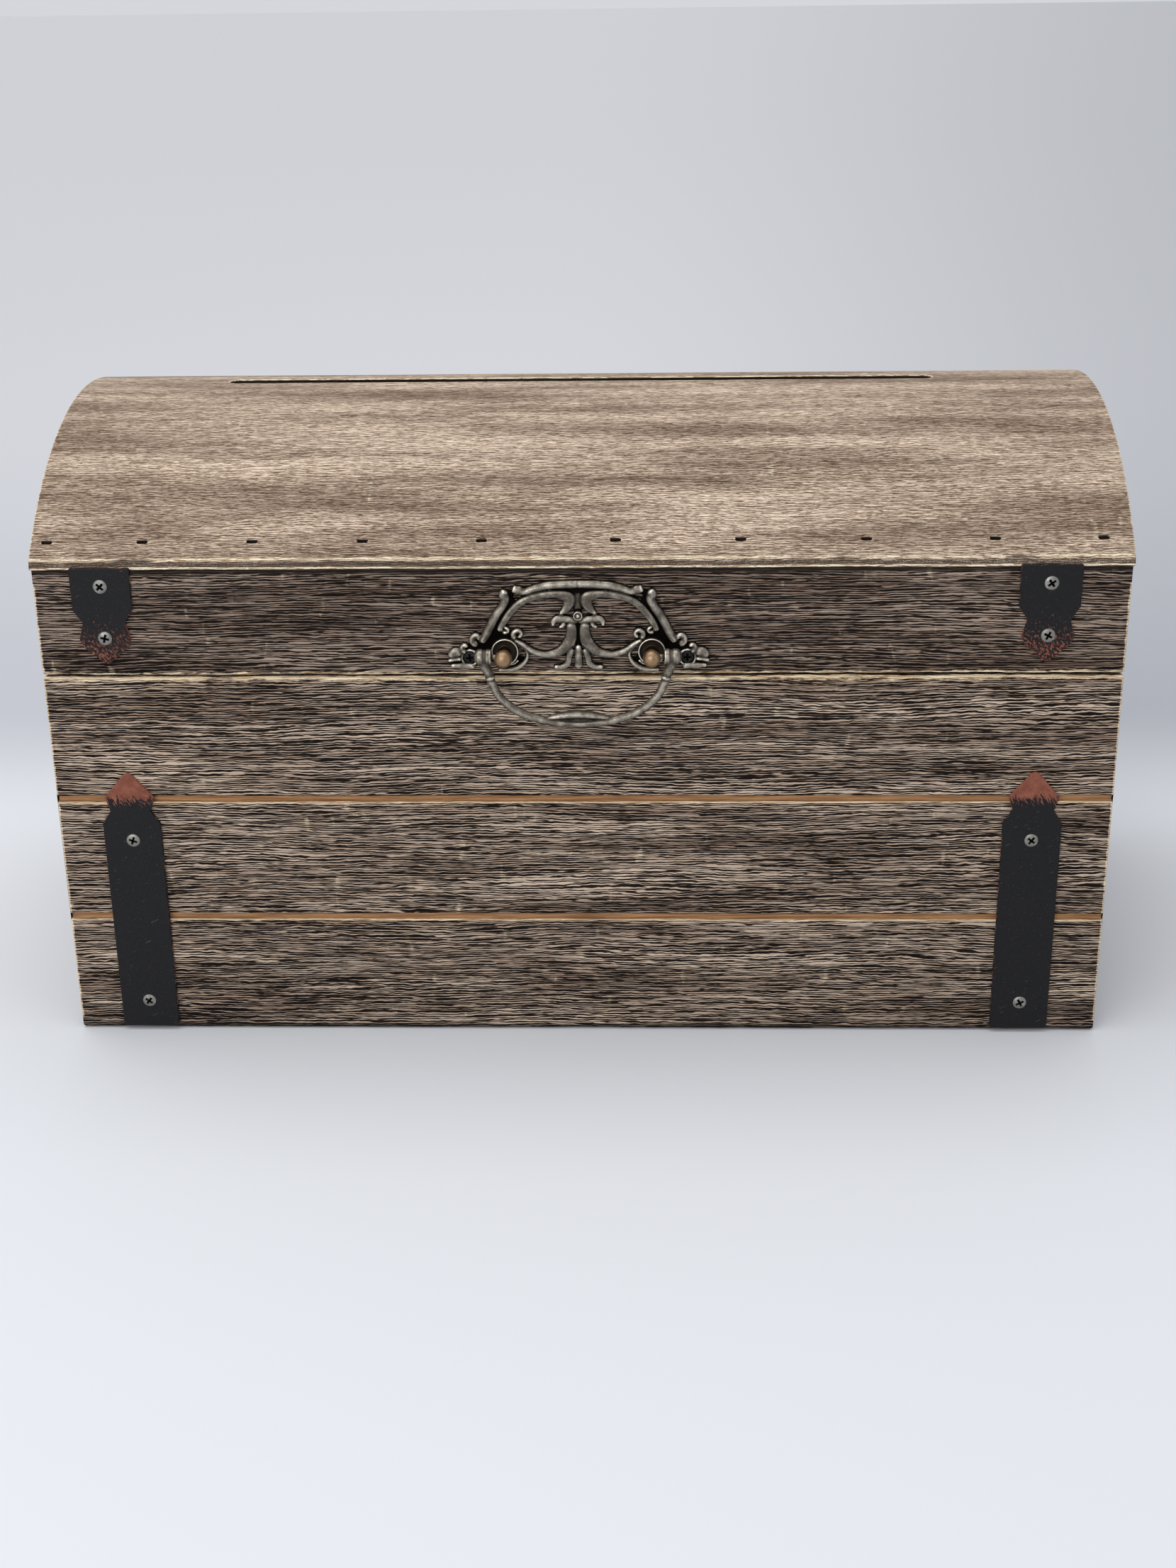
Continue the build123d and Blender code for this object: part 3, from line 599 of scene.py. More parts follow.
@dataclass(frozen=True)
class FloorPaint:
    """A plain pale studio floor whose far part is painted as a slightly greyer backdrop sweeping up, with
    painted shade low on it and a painted shadow on its right.
    """

    name: str = "studio_floor"
    near: Colour = tone(218, 220, 223)
    # the backdrop's colour low down, darker as painted shade, and higher up, lighter as painted light
    low: Colour = tone(190, 192, 197)
    high: Colour = tone(248, 248, 248)
    sweep: float = 215.0
    eye_distance: float = 774.0

    def material(self) -> bpy.types.Material:
        """Builds the floor's material; far places stand for the higher part of the sweep."""
        shader = Shader(self.name)
        x, y, _ = shader.position()
        away = (y + self.eye_distance).most(1.0)
        height = 1 - (self.sweep + self.eye_distance) / away
        side = (x / away + 0.1).rise(0.05, 0.42)
        # painted shade: the backdrop is darker at its base and lighter higher up, as if nearer the top light
        wall = shader.mix(height.rise(0.05, 0.8), self.low, self.high)
        # painted shadow of the box on the right side of the backdrop
        wall = shader.mix(side * 0.35, wall, tone(150, 154, 160))
        return shader.finish(shader.mix(height.rise(-0.12, 0.06), self.near, wall), 0.7, specular=0.15)


# ---------------------------------------------------------------- mesh tools

def new_object(name: str, vertices: np.ndarray, faces: Sequence[Sequence[int]]) -> bpy.types.Object:
    """Makes a mesh object from places in millimetres.

    Args:
        name: The object's name.
        vertices: Places in millimetres, one row each.
        faces: The corners of each face.

    Returns:
        The object, linked to the scene.
    """
    mesh = bpy.data.meshes.new(name)
    mesh.from_pydata((np.asarray(vertices, float) * MM).tolist(), [], [list(face) for face in faces])
    mesh.update()
    made = bpy.data.objects.new(name, mesh)
    bpy.context.scene.collection.objects.link(made)
    return made


def outward(piece: bpy.types.Object, merge: float = 1e-6) -> None:
    """Merges doubles and turns every face outwards."""
    work = bmesh.new()
    work.from_mesh(piece.data)
    bmesh.ops.remove_doubles(work, verts=work.verts, dist=merge)
    bmesh.ops.recalc_face_normals(work, faces=work.faces)
    if work.calc_volume(signed=True) < 0:
        bmesh.ops.reverse_faces(work, faces=work.faces)
    work.to_mesh(piece.data)
    work.free()


def smooth_by_angle(piece: bpy.types.Object, degrees: float = 32.0) -> None:
    """Shades a piece smooth, with sharp edges where faces meet at a steep angle."""
    work = bmesh.new()
    work.from_mesh(piece.data)
    limit = math.radians(degrees)
    for edge in work.edges:
        edge.smooth = len(edge.link_faces) == 2 and edge.calc_face_angle(0.0) < limit
    for face in work.faces:
        face.smooth = True
    work.to_mesh(piece.data)
    work.free()


def evaluated_mesh(piece: bpy.types.Object) -> None:
    """Turns a piece's modifiers into its plain mesh and removes them."""
    bpy.context.view_layer.update()
    graph = bpy.context.evaluated_depsgraph_get()
    mesh = bpy.data.meshes.new_from_object(piece.evaluated_get(graph))
    piece.modifiers.clear()
    old = piece.data
    piece.data = mesh
    mesh.name = piece.name
    bpy.data.meshes.remove(old)


def cut(piece: bpy.types.Object, cutter: bpy.types.Object) -> None:
    """Cuts one closed piece out of another and removes the cutter."""
    boolean = piece.modifiers.new("cut", "BOOLEAN")
    boolean.operation = "DIFFERENCE"
    boolean.solver = "EXACT"
    boolean.object = cutter
    evaluated_mesh(piece)
    bpy.data.objects.remove(cutter)


def joined(name: str, pieces: Sequence[bpy.types.Object]) -> bpy.types.Object:
    """Joins several meshes into one object of this name.

    Args:
        name: The name of the joined object.
        pieces: The objects to join, which are removed.

    Returns:
        The joined object.
    """
    work = bmesh.new()
    for piece in pieces:
        work.from_mesh(piece.data)
    mesh = bpy.data.meshes.new(name)
    work.to_mesh(mesh)
    work.free()
    for piece in pieces:
        bpy.data.objects.remove(piece)
    made = bpy.data.objects.new(name, mesh)
    bpy.context.scene.collection.objects.link(made)
    return made


def wander(seed: int, rows: int, columns: int, row_cell: float, column_cell: float) -> np.ndarray:
    """Makes a smooth seeded field of numbers from -1 to 1.

    Args:
        seed: The seed of the random numbers.
        rows: Rows of the field.
        columns: Columns of the field.
        row_cell: Rows from one random number to the next.
        column_cell: Columns from one random number to the next.

    Returns:
        The field, rows by columns.
    """
    rng = np.random.default_rng(seed)
    coarse = rng.uniform(-1, 1, (int(rows / row_cell) + 3, int(columns / column_cell) + 3))
    row_at = np.arange(rows) / row_cell
    column_at = np.arange(columns) / column_cell
    low_row = row_at.astype(int)
    low_column = column_at.astype(int)
    row_share = row_at - low_row
    column_share = column_at - low_column
    row_share = (row_share * row_share * (3 - 2 * row_share))[:, None]
    column_share = (column_share * column_share * (3 - 2 * column_share))[None, :]
    top = (coarse[low_row][:, low_column] * (1 - column_share)
           + coarse[low_row][:, low_column + 1] * column_share)
    low = coarse[low_row + 1][:, low_column] * (1 - column_share) \
        + coarse[low_row + 1][:, low_column + 1] * column_share
    return top * (1 - row_share) + low * row_share


def lathe(profile: Sequence[Point], sides: int = 40) -> tuple[np.ndarray, list[tuple[int, ...]]]:
    """Turns a profile of (radius, height) about the Z axis.

    Args:
        profile: Points from the bottom to the top; an end of radius 0 closes to a point.
        sides: How many flat sides the turned shape has.

    Returns:
        Vertices in millimetres and faces.
    """
    vertices: list[tuple[float, float, float]] = []
    rings: list[list[int]] = []
    for radius, height in profile:
        if radius <= 0:
            rings.append([len(vertices)] * sides)
            vertices.append((0.0, 0.0, height))
            continue
        rings.append(list(range(len(vertices), len(vertices) + sides)))
        for step in range(sides):
            angle = math.tau * step / sides
            vertices.append((radius * math.cos(angle), radius * math.sin(angle), height))
    faces: list[tuple[int, ...]] = []
    for low, high in zip(rings, rings[1:]):
        for step in range(sides):
            after = (step + 1) % sides
            corners = (low[step], low[after], high[after], high[step])
            faces.append(tuple(dict.fromkeys(corners)))
    return np.array(vertices), faces


def placed(vertices: np.ndarray, turn: Matrix, at: Sequence[float]) -> np.ndarray:
    """Turns vertices and moves them to a place."""
    return vertices @ np.array(turn.to_3x3()).T + np.array(at, float)


def spline(points: Sequence[Sequence[float]], count: int) -> np.ndarray:
    """Returns evenly counted points on a smooth curve through the given points.

    Args:
        points: The points that the curve passes through.
        count: How many points to return.

    Returns:
        The points as rows.
    """
    known = np.asarray(points, float)
    padded = np.vstack([2 * known[0] - known[1], known, 2 * known[-1] - known[-2]])
    spans = len(known) - 1
    result = []
    for at in np.linspace(0, spans, count):
        index = min(int(at), spans - 1)
        t = at - index
        a, b, c, d = padded[index:index + 4]
        result.append(0.5 * (2 * b + (c - a) * t + (2 * a - 5 * b + 4 * c - d) * t * t
                             + (3 * b - a - 3 * c + d) * t ** 3))
    return np.array(result)


def dress(piece: bpy.types.Object, material: bpy.types.Material, body: str, slot: str,
          *nodes: str) -> bpy.types.Object:
    """Gives a finished piece its material, its body and the frame nodes it stands for.

    Args:
        piece: The finished mesh object.
        material: The material of all its faces.
        body: The body it rides on.
        slot: The record's material slot; not used.
        nodes: The frame nodes that it replaces.

    Returns:
        The same piece.
    """
    piece.data.materials.clear()
    piece.data.materials.append(material)
    for polygon in piece.data.polygons:
        polygon.material_index = 0
    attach(piece, body)
    if nodes:
        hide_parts(*nodes)
    LOG.info("%s: %d faces on %s", piece.name, len(piece.data.polygons), body)
    return piece


# ---------------------------------------------------------------- boards

@dataclass
class Section:
    """A board's closed cross-section, with how much each point wears."""

    points: np.ndarray
    wear: np.ndarray

    @classmethod
    def from_corners(cls, corners: Sequence[tuple[float, float, float, float]],
                     spacing: float) -> "Section":
        """Rounds the corners of an outline and divides its straight runs.

        Args:
            corners: (across, height, radius, wear) of each corner, in order round the section.
            spacing: The longest straight run without a point.

        Returns:
            The section.
        """
        points: list[np.ndarray] = []
        wear: list[float] = []
        count = len(corners)
        for index, (across, height, radius, weight) in enumerate(corners):
            here = np.array((across, height))
            before = np.array(corners[index - 1][:2])
            after = np.array(corners[(index + 1) % count][:2])
            enter = here + (before - here) / np.linalg.norm(before - here) * radius
            leave = here + (after - here) / np.linalg.norm(after - here) * radius
            steps = 5 if radius > 0 else 1
            for step in range(steps):
                t = step / max(steps - 1, 1)
                points.append((1 - t) ** 2 * enter + 2 * t * (1 - t) * here + t * t * leave)
                wear.append(weight)
            next_radius = corners[(index + 1) % count][2]
            goal = after + (here - after) / np.linalg.norm(here - after) * next_radius
            run = np.linalg.norm(goal - leave)
            parts = max(1, int(run / spacing))
            for part in range(1, parts):
                points.append(leave + (goal - leave) * part / parts)
                wear.append(0.0)
        return cls(np.array(points), np.array(wear))

    def normals(self) -> np.ndarray:
        """Returns the outward direction at each point."""
        ahead = np.roll(self.points, -1, 0) - np.roll(self.points, 1, 0)
        ahead /= np.maximum(np.linalg.norm(ahead, axis=1), 1e-9)[:, None]
        side = np.stack([ahead[:, 1], -ahead[:, 0]], 1)
        x, y = self.points[:, 0], self.points[:, 1]
        area = np.sum(x * np.roll(y, -1) - np.roll(x, -1) * y)
        return side if area > 0 else -side


@dataclass
class WornBoard:
    """One board: a cross-section carried along a line, with chipped and rounded edges."""

    name: str
    grain: Grain
    start: float
    end: float
    seed: int
    section: Callable[[float], Section]
    end_round: float = 0.8
    chip_depth: float = 0.45
    wave_depth: float = 0.05
    step: float = 1.8
    ladder_ends: bool = False

    def build(self) -> bpy.types.Object:
        """Builds the closed mesh of the board.

        Returns:
            The board's object.
        """
        inner = np.linspace(self.start + self.end_round, self.end - self.end_round,
                            int((self.end - self.start) / self.step))
        rim = [0.0, 0.15, 0.5]
        places = [(self.start + self.end_round * share, self.inset(share)) for share in rim]
        places += [(place, 0.0) for place in inner]
        places += [(self.end - self.end_round * share, self.inset(share)) for share in reversed(rim)]
        first = self.section(self.start)
        count = len(first.points)
        rows_made = len(places)
        chips = (wander(self.seed, rows_made, count, 2.2, 5.0)
                 + wander(self.seed + 1, rows_made, count, 9.0, 7.0))
        waves = wander(self.seed + 2, len(places), count, 14.0, 6.0)
        rows = []
        for index, (place, inset) in enumerate(places):
            section = self.section(place)
            bite = np.clip(0.35 + 0.5 * chips[index], 0, 1) * self.chip_depth * section.wear
            rough = waves[index] * self.wave_depth * (section.wear >= 0)
            shift = section.normals() * -(bite + np.abs(rough) + inset)[:, None]
            rows.append(self.lifted(section.points + shift, place))
        vertices = np.concatenate(rows)
        faces = self.side_faces(len(places), count)
        faces += self.end_faces(0, count) + self.end_faces((len(places) - 1) * count, count)
        board = new_object(self.name, vertices, faces)
        outward(board)
        smooth_by_angle(board, 40.0)
        return board

    def end_faces(self, first: int, count: int) -> list[list[int]]:
        """Returns what closes one end: a single face, or a ladder across a thin bent section."""
        if not self.ladder_ends:
            return [list(range(first, first + count))]
        last = first + count - 1
        return [[first + rung, first + rung + 1, last - rung - 1, last - rung]
                for rung in range(count // 2 - 1)]

    def inset(self, share: float) -> float:
        """Returns how far the section shrinks near a rounded end."""
        return self.end_round * (1 - math.sqrt(1 - (1 - share) ** 2))

    def lifted(self, points: np.ndarray, place: float) -> np.ndarray:
        """Turns section points into places in the frame."""
        along = np.full(len(points), place)
        if self.grain is Grain.ALONG_BOX:
            return np.stack([along, points[:, 0], points[:, 1]], 1)
        return np.stack([points[:, 0], along, points[:, 1]], 1)

    @staticmethod
    def side_faces(rows: int, count: int) -> list[list[int]]:
        """Returns the quads between neighbouring sections."""
        faces = []
        for row in range(rows - 1):
            for index in range(count):
                after = (index + 1) % count
                base = row * count
                faces.append([base + index, base + after, base + count + after, base + count + index])
        return faces


@dataclass
class BoxBoards:
    """The burnt wooden boards of the body and the lid."""

    sizes: BoxSizes
    foot_round: float = 2.6
    rim_round: float = 1.3
    spacing: float = 3.2

    def groove_corners(self, outer: float, inward: float,
                       upward: bool) -> list[tuple[float, float, float, float]]:
        """Returns the corners of both routed lines on one face, from the bottom up."""
        half = self.sizes.groove_height / 2
        floor = outer + inward * self.sizes.groove_depth
        corners: list[tuple[float, float, float, float]] = []
        for line in self.sizes.plank_lines:
            corners += [(outer, line - half, 0.35, 0.8), (floor, line - half + 0.3, 0.3, 0.2),
                        (floor, line + half - 0.3, 0.3, 0.2), (outer, line + half, 0.35, 0.8)]
        return corners if upward else corners[::-1]

    def wall_section(self, outer: float, inner: float) -> Section:
        """Returns the cross-section of one body wall, standing on the floor."""
        inward = 1.0 if inner > outer else -1.0
        top = self.sizes.body_top
        corners = [(outer, 0.0, self.foot_round, 0.6)]
        corners += self.groove_corners(outer, inward, True)
        corners += [(outer, top, self.rim_round, 1.0), (inner, top, 0.5, 0.3), (inner, 0.0, 0.3, 0.0)]
        return Section.from_corners(corners, self.spacing)

    def rail_section(self, outer: float, inner: float) -> Section:
        """Returns the cross-section of a lid rail, whose top follows the arch."""
        size = self.sizes
        low = size.lid_bottom
        inset = size.skin_thickness
        outer_top = size.arch_height(outer, inset)
        inner_top = size.arch_height(inner, inset)
        corners = [(outer, low, self.rim_round, 1.0), (outer, outer_top, 0.2, 0.0),
                   (inner, inner_top, 0.2, 0.0), (inner, low, 0.5, 0.3)]
        return Section.from_corners(corners, self.spacing)

    def arched_end_section(self, outer: float, inner: float, depth: float) -> Section:
        """Returns a lid end's cross-section at one depth."""
        low = self.sizes.lid_bottom
        top = self.sizes.arch_height(depth, self.sizes.skin_thickness)
        corners = [(outer, low, self.rim_round, 1.0), (outer, top, 0.1, 0.0), (inner, top, 0.1, 0.0),
                   (inner, low, 0.5, 0.3)]
        middle = 12
        points: list[np.ndarray] = []
        wear: list[float] = []
        base = Section.from_corners(corners, 1e6)
        for index, point in enumerate(base.points):
            points.append(point)
            wear.append(float(base.wear[index]))
            following = base.points[(index + 1) % len(base.points)]
            if abs(following[1] - point[1]) > 10:
                for part in range(1, middle):
                    points.append(point + (following - point) * part / middle)
                    wear.append(0.0)
        return Section(np.array(points), np.array(wear))

    def build(self) -> None:
        """Builds and dresses every board that is finished in burnt wood."""
        size = self.sizes
        along = size.half_length
        deep = size.half_depth
        between = deep - size.board
        for name, side, seed in (("front", -1, 11), ("back", 1, 21)):
            outer, inner = side * deep, side * between
            body_wood = BrushedWood(f"{name}_panel_wood", size, Place.BODY, seed=seed * 7.0).material()
            panel = WornBoard(f"{name}_board", Grain.ALONG_BOX, -along, along, seed,
                              lambda _, o=outer, i=inner: self.wall_section(o, i))
            dress(panel.build(), body_wood, "box", "burnt_wood", f"{name}_panel")
            lid_wood = BrushedWood(f"{name}_rail_wood", size, Place.LID, seed=seed * 13.0,
                                   middle=tone(50, 38, 30), light=tone(156, 139, 126), ripple=0.2,
                                   dash=12.0).material()
            rail = WornBoard(f"{name}_rail", Grain.ALONG_BOX, -along, along, seed + 3,
                             lambda _, o=outer, i=inner: self.rail_section(o, i))
            dress(rail.build(), lid_wood, "lid", "burnt_wood", f"lid_{name}_rail")
        for name, side, seed in (("left", -1, 31), ("right", 1, 41)):
            outer, inner = side * along, side * (along - size.board)
            body_wood = BrushedWood(f"{name}_end_wood", size, Place.BODY, Grain.ALONG_DEPTH,
                                    seed * 5.0).material()
            panel = WornBoard(f"{name}_end_board", Grain.ALONG_DEPTH, -between, between, seed,
                              lambda _, o=outer, i=inner: self.wall_section(o, i), end_round=0.05)
            dress(panel.build(), body_wood, "box", "burnt_wood", f"{name}_end_panel")
            lid_wood = BrushedWood(f"{name}_lid_end_wood", size, Place.LID, Grain.ALONG_DEPTH, seed * 9.0,
                                   middle=tone(64, 50, 41), light=tone(166, 148, 133),
                                   ripple=0.3).material()
            end = WornBoard(f"{name}_lid_end_board", Grain.ALONG_DEPTH, -between, between, seed + 3,
                            lambda depth, o=outer, i=inner: self.arched_end_section(o, i, depth),
                            end_round=0.05)
            dress(end.build(), lid_wood, "lid", "burnt_wood", f"lid_{name}_end")


# ---------------------------------------------------------------- lid skin

@dataclass(frozen=True)
class CardSlot:
    """The long rounded slot along the top of the lid."""

    length: float = 267.5
    width: float = 7.4
    centre_x: float = -2.2
    centre_y: float = -0.5
    flare: float = 0.6

    def cutter(self, sizes: BoxSizes) -> bpy.types.Object:
        """Makes the closed cutter of the slot with its eased upper edge.

        Args:
            sizes: The sizes of the box.

        Returns:
            The cutter's object.
        """
        top = sizes.arch_centre + sizes.arch_radius
        levels = [(top - 3 * sizes.skin_thickness, 0.0), (top - 1.0, 0.0), (top - 0.45, 0.12),
                  (top - 0.15, 0.4 * self.flare), (top, self.flare), (top + 2.0, self.flare + 2.0)]
        turns = 14
        rings = []
        for height, grow in levels:
            half = (self.length - self.width) / 2
            radius = self.width / 2 + grow
            ring = []
            for side in (1, -1):
                for step in range(turns + 1):
                    angle = side * math.pi / 2 - math.pi * step / turns
                    x = self.centre_x + side * half + radius * math.cos(angle)
                    ring.append((x, self.centre_y + radius * math.sin(angle), height))
            rings.append(ring)
        count = len(rings[0])
        faces = WornBoard.side_faces(len(rings), count)
        faces.append(list(range(count)))
        faces.append(list(range((len(rings) - 1) * count, len(rings) * count)))
        made = new_object("slot_cutter", np.array([p for ring in rings for p in ring]), faces)
        outward(made)
        return made


@dataclass
class LidSkin:
    """The thin plywood sheet bent over the lid, with its slot and nail pockets."""

    sizes: BoxSizes
    slot: CardSlot
    nail_x: Sequence[float]
    nail_inset: float = 5.0
    overhang: float = 0.5
    arc_step: float = 2.4
    pocket_length: float = 4.0
    pocket_width: float = 1.4
    pocket_depth: float = 1.7

    def section(self) -> Section:
        """Returns the sheet's bent cross-section."""
        size = self.sizes
        outer, inner = size.arch_radius, size.arch_radius - size.skin_thickness
        count = int(2 * size.half_depth / self.arc_step)
        depth = size.half_depth
        corners: list[tuple[float, float, float, float]] = []
        reach = math.asin(depth / outer)
        for index in range(count + 1):
            angle = -reach + 2 * reach * index / count
            edge = index in (0, count)
            corners.append((outer * math.sin(angle), size.arch_centre + outer * math.cos(angle),
                            0.5 if edge else 0.0, 1.0 if edge else 0.0))
        reach = math.asin(depth / inner)
        for index in range(count + 1):
            angle = reach - 2 * reach * index / count
            edge = index in (0, count)
            corners.append((inner * math.sin(angle), size.arch_centre + inner * math.cos(angle),
                            0.3 if edge else 0.0, 0.5 if edge else 0.0))
        return Section.from_corners(corners, 1e6)

    def pocket(self, x: float, side: int) -> bpy.types.Object:
        """Makes the cutter of one small oval nail pocket."""
        y = side * (self.sizes.half_depth - self.nail_inset)
        z = self.sizes.arch_height(y)
        half = (self.pocket_length - self.pocket_width) / 2
        ring = []
        for end in (1, -1):
            for step in range(7):
                angle = end * math.pi / 2 - math.pi * step / 6
                ring.append((x + end * half + self.pocket_width / 2 * math.cos(angle),
                             y + self.pocket_width / 2 * math.sin(angle)))
        low = [(px, py, z - self.pocket_depth) for px, py in ring]
        high = [(px, py, z + 4.0) for px, py in ring]
        count = len(ring)
        faces = WornBoard.side_faces(2, count) + [list(range(count)), list(range(count, 2 * count))]
        made = new_object("pocket", np.array(low + high), faces)
        outward(made)
        return made

    def build(self) -> None:
        """Builds the sheet, cuts it and dresses it."""
        reach = self.sizes.half_length + self.overhang
        section = self.section()
        board = WornBoard("lid_skin", Grain.ALONG_BOX, -reach, reach, 51, lambda _: section,
                          end_round=0.5, chip_depth=0.35, wave_depth=0.04, step=2.4,
                          ladder_ends=True).build()
        cut(board, self.slot.cutter(self.sizes))
        pockets = [self.pocket(x, side) for side in (-1, 1) for x in self.nail_x]
        cut(board, joined("pockets", pockets))
        smooth_by_angle(board, 35.0)
        wood = BrushedWood("lid_skin_wood", self.sizes, Place.SKIN, dark=tone(104, 84, 66),
                           middle=tone(180, 160, 140), light=tone(232, 214, 195), line_pitch=0.62,
                           dash=4.5, ripple=0.10, drift=2.0, sharp=0.34, banding=0.10,
                           edge=tone(238, 224, 196)).material()
        dress(board, wood, "lid", "burnt_plywood", "lid_top_panel")


# ---------------------------------------------------------------- fasteners

@dataclass
class FastenerRow:
    """Many copies of one fastener, set on a host point cloud by Geometry Nodes."""

    name: str
    places: Sequence[Sequence[float]]
    turn: Matrix
    master: bpy.types.Object
    seed: int = 1
    spin: float = math.tau

    def tree(self) -> bpy.types.NodeTree:
        """Builds the node tree that sets a copy of the fastener on every point.

        Returns:
            The Geometry Nodes tree.
        """
        tree = bpy.data.node_groups.new(f"{self.name}_copies", "GeometryNodeTree")
        face = tree.interface
        face.new_socket("Points", in_out="INPUT", socket_type="NodeSocketGeometry")
        face.new_socket("Fastener", in_out="INPUT", socket_type="NodeSocketObject")
        face.new_socket("Turn", in_out="INPUT", socket_type="NodeSocketVector")
        face.new_socket("Spin", in_out="INPUT", socket_type="NodeSocketFloat")
        face.new_socket("Finish", in_out="INPUT", socket_type="NodeSocketMaterial")
        face.new_socket("Geometry", in_out="OUTPUT", socket_type="NodeSocketGeometry")
        add = tree.nodes.new
        given, result = add("NodeGroupInput"), add("NodeGroupOutput")
        points, copies = add("GeometryNodeMeshToPoints"), add("GeometryNodeInstanceOnPoints")
        shape, random = add("GeometryNodeObjectInfo"), add("FunctionNodeRandomValue")
        spun, solid, finish = (add("GeometryNodeRotateInstances"), add("GeometryNodeRealizeInstances"),
                               add("GeometryNodeSetMaterial"))
        random.data_type = "FLOAT"
        random.inputs["Seed"].default_value = self.seed
        angle, rotate = add("ShaderNodeCombineXYZ"), add("FunctionNodeEulerToRotation")
        tilt = add("FunctionNodeEulerToRotation")
        link = tree.links.new
        link(given.outputs["Points"], points.inputs[0])
        link(points.outputs[0], copies.inputs["Points"])
        link(given.outputs["Fastener"], shape.inputs["Object"])
        link(shape.outputs["Geometry"], copies.inputs["Instance"])
        link(given.outputs["Turn"], tilt.inputs[0])
        link(tilt.outputs[0], copies.inputs["Rotation"])
        link(given.outputs["Spin"], random.inputs[3])
        link(random.outputs[1], angle.inputs[2])
        link(angle.outputs[0], rotate.inputs[0])
        link(copies.outputs[0], spun.inputs["Instances"])
        link(rotate.outputs[0], spun.inputs["Rotation"])
        link(spun.outputs[0], solid.inputs[0])
        link(solid.outputs[0], finish.inputs[0])
        link(given.outputs["Finish"], finish.inputs["Material"])
        link(finish.outputs[0], result.inputs[0])
        return tree

    def build(self, material: bpy.types.Material) -> bpy.types.Object:
        """Runs the tree on the places and returns the plain mesh."""
        host = new_object(self.name, np.array(self.places, float), [])
        modifier = host.modifiers.new("copies", "NODES")
        modifier.node_group = self.tree()
        named = {item.name: item.identifier for item in modifier.node_group.interface.items_tree
                 if item.in_out == "INPUT"}
        modifier[named["Fastener"]] = self.master
        modifier[named["Turn"]] = tuple(self.turn.to_euler())
        modifier[named["Spin"]] = self.spin
        modifier[named["Finish"]] = material
        evaluated_mesh(host)
        smooth_by_angle(host, 35.0)
        return host


@dataclass(frozen=True)
class CrossScrew:
    """The head of a raised countersunk screw with a cross recess."""

    head_radius: float
    dome: float = 0.6
    sink: float = 1.3
    arm_length: float = 1.7
    arm_width: float = 0.46
    recess: float = 1.1

    def master(self) -> bpy.types.Object:
        """Makes the screw head once, its axis along Z and its rim at zero."""
        r = self.head_radius
        profile = [(0.0, -self.sink), (0.42 * r, -self.sink), (0.93 * r, -0.22), (r, -0.08), (r, 0.06),
                   (0.95 * r, 0.16), (0.8 * r, 0.62 * self.dome), (0.55 * r, 0.86 * self.dome),
                   (0.28 * r, 0.97 * self.dome), (0.0, self.dome)]
        vertices, faces = lathe(profile, 36)
        head = new_object("screw_master", vertices, faces)
        outward(head)
        for turn in (0.0, math.pi / 2):
            cut(head, self.blade(turn))
        return head

    def blade(self, turn: float) -> bpy.types.Object:
        """Makes one arm pair of the cross recess, narrower towards its floor."""
        share = self.head_radius / 2.6
        levels = ((self.dome - self.recess, 0.75), (self.dome + 0.5, 1.1))
        corners = []
        for height, grow in levels:
            for sx, sy in ((-1, -1), (1, -1), (1, 1), (-1, 1)):
                reach = share * grow
                corners.append((sx * self.arm_length * reach, sy * self.arm_width * reach, height))
        faces = [[0, 1, 2, 3], [4, 5, 6, 7]] + WornBoard.side_faces(2, 4)
        made = new_object("blade", placed(np.array(corners), Matrix.Rotation(turn, 3, "Z"), (0, 0, 0)), faces)
        outward(made)
        return made


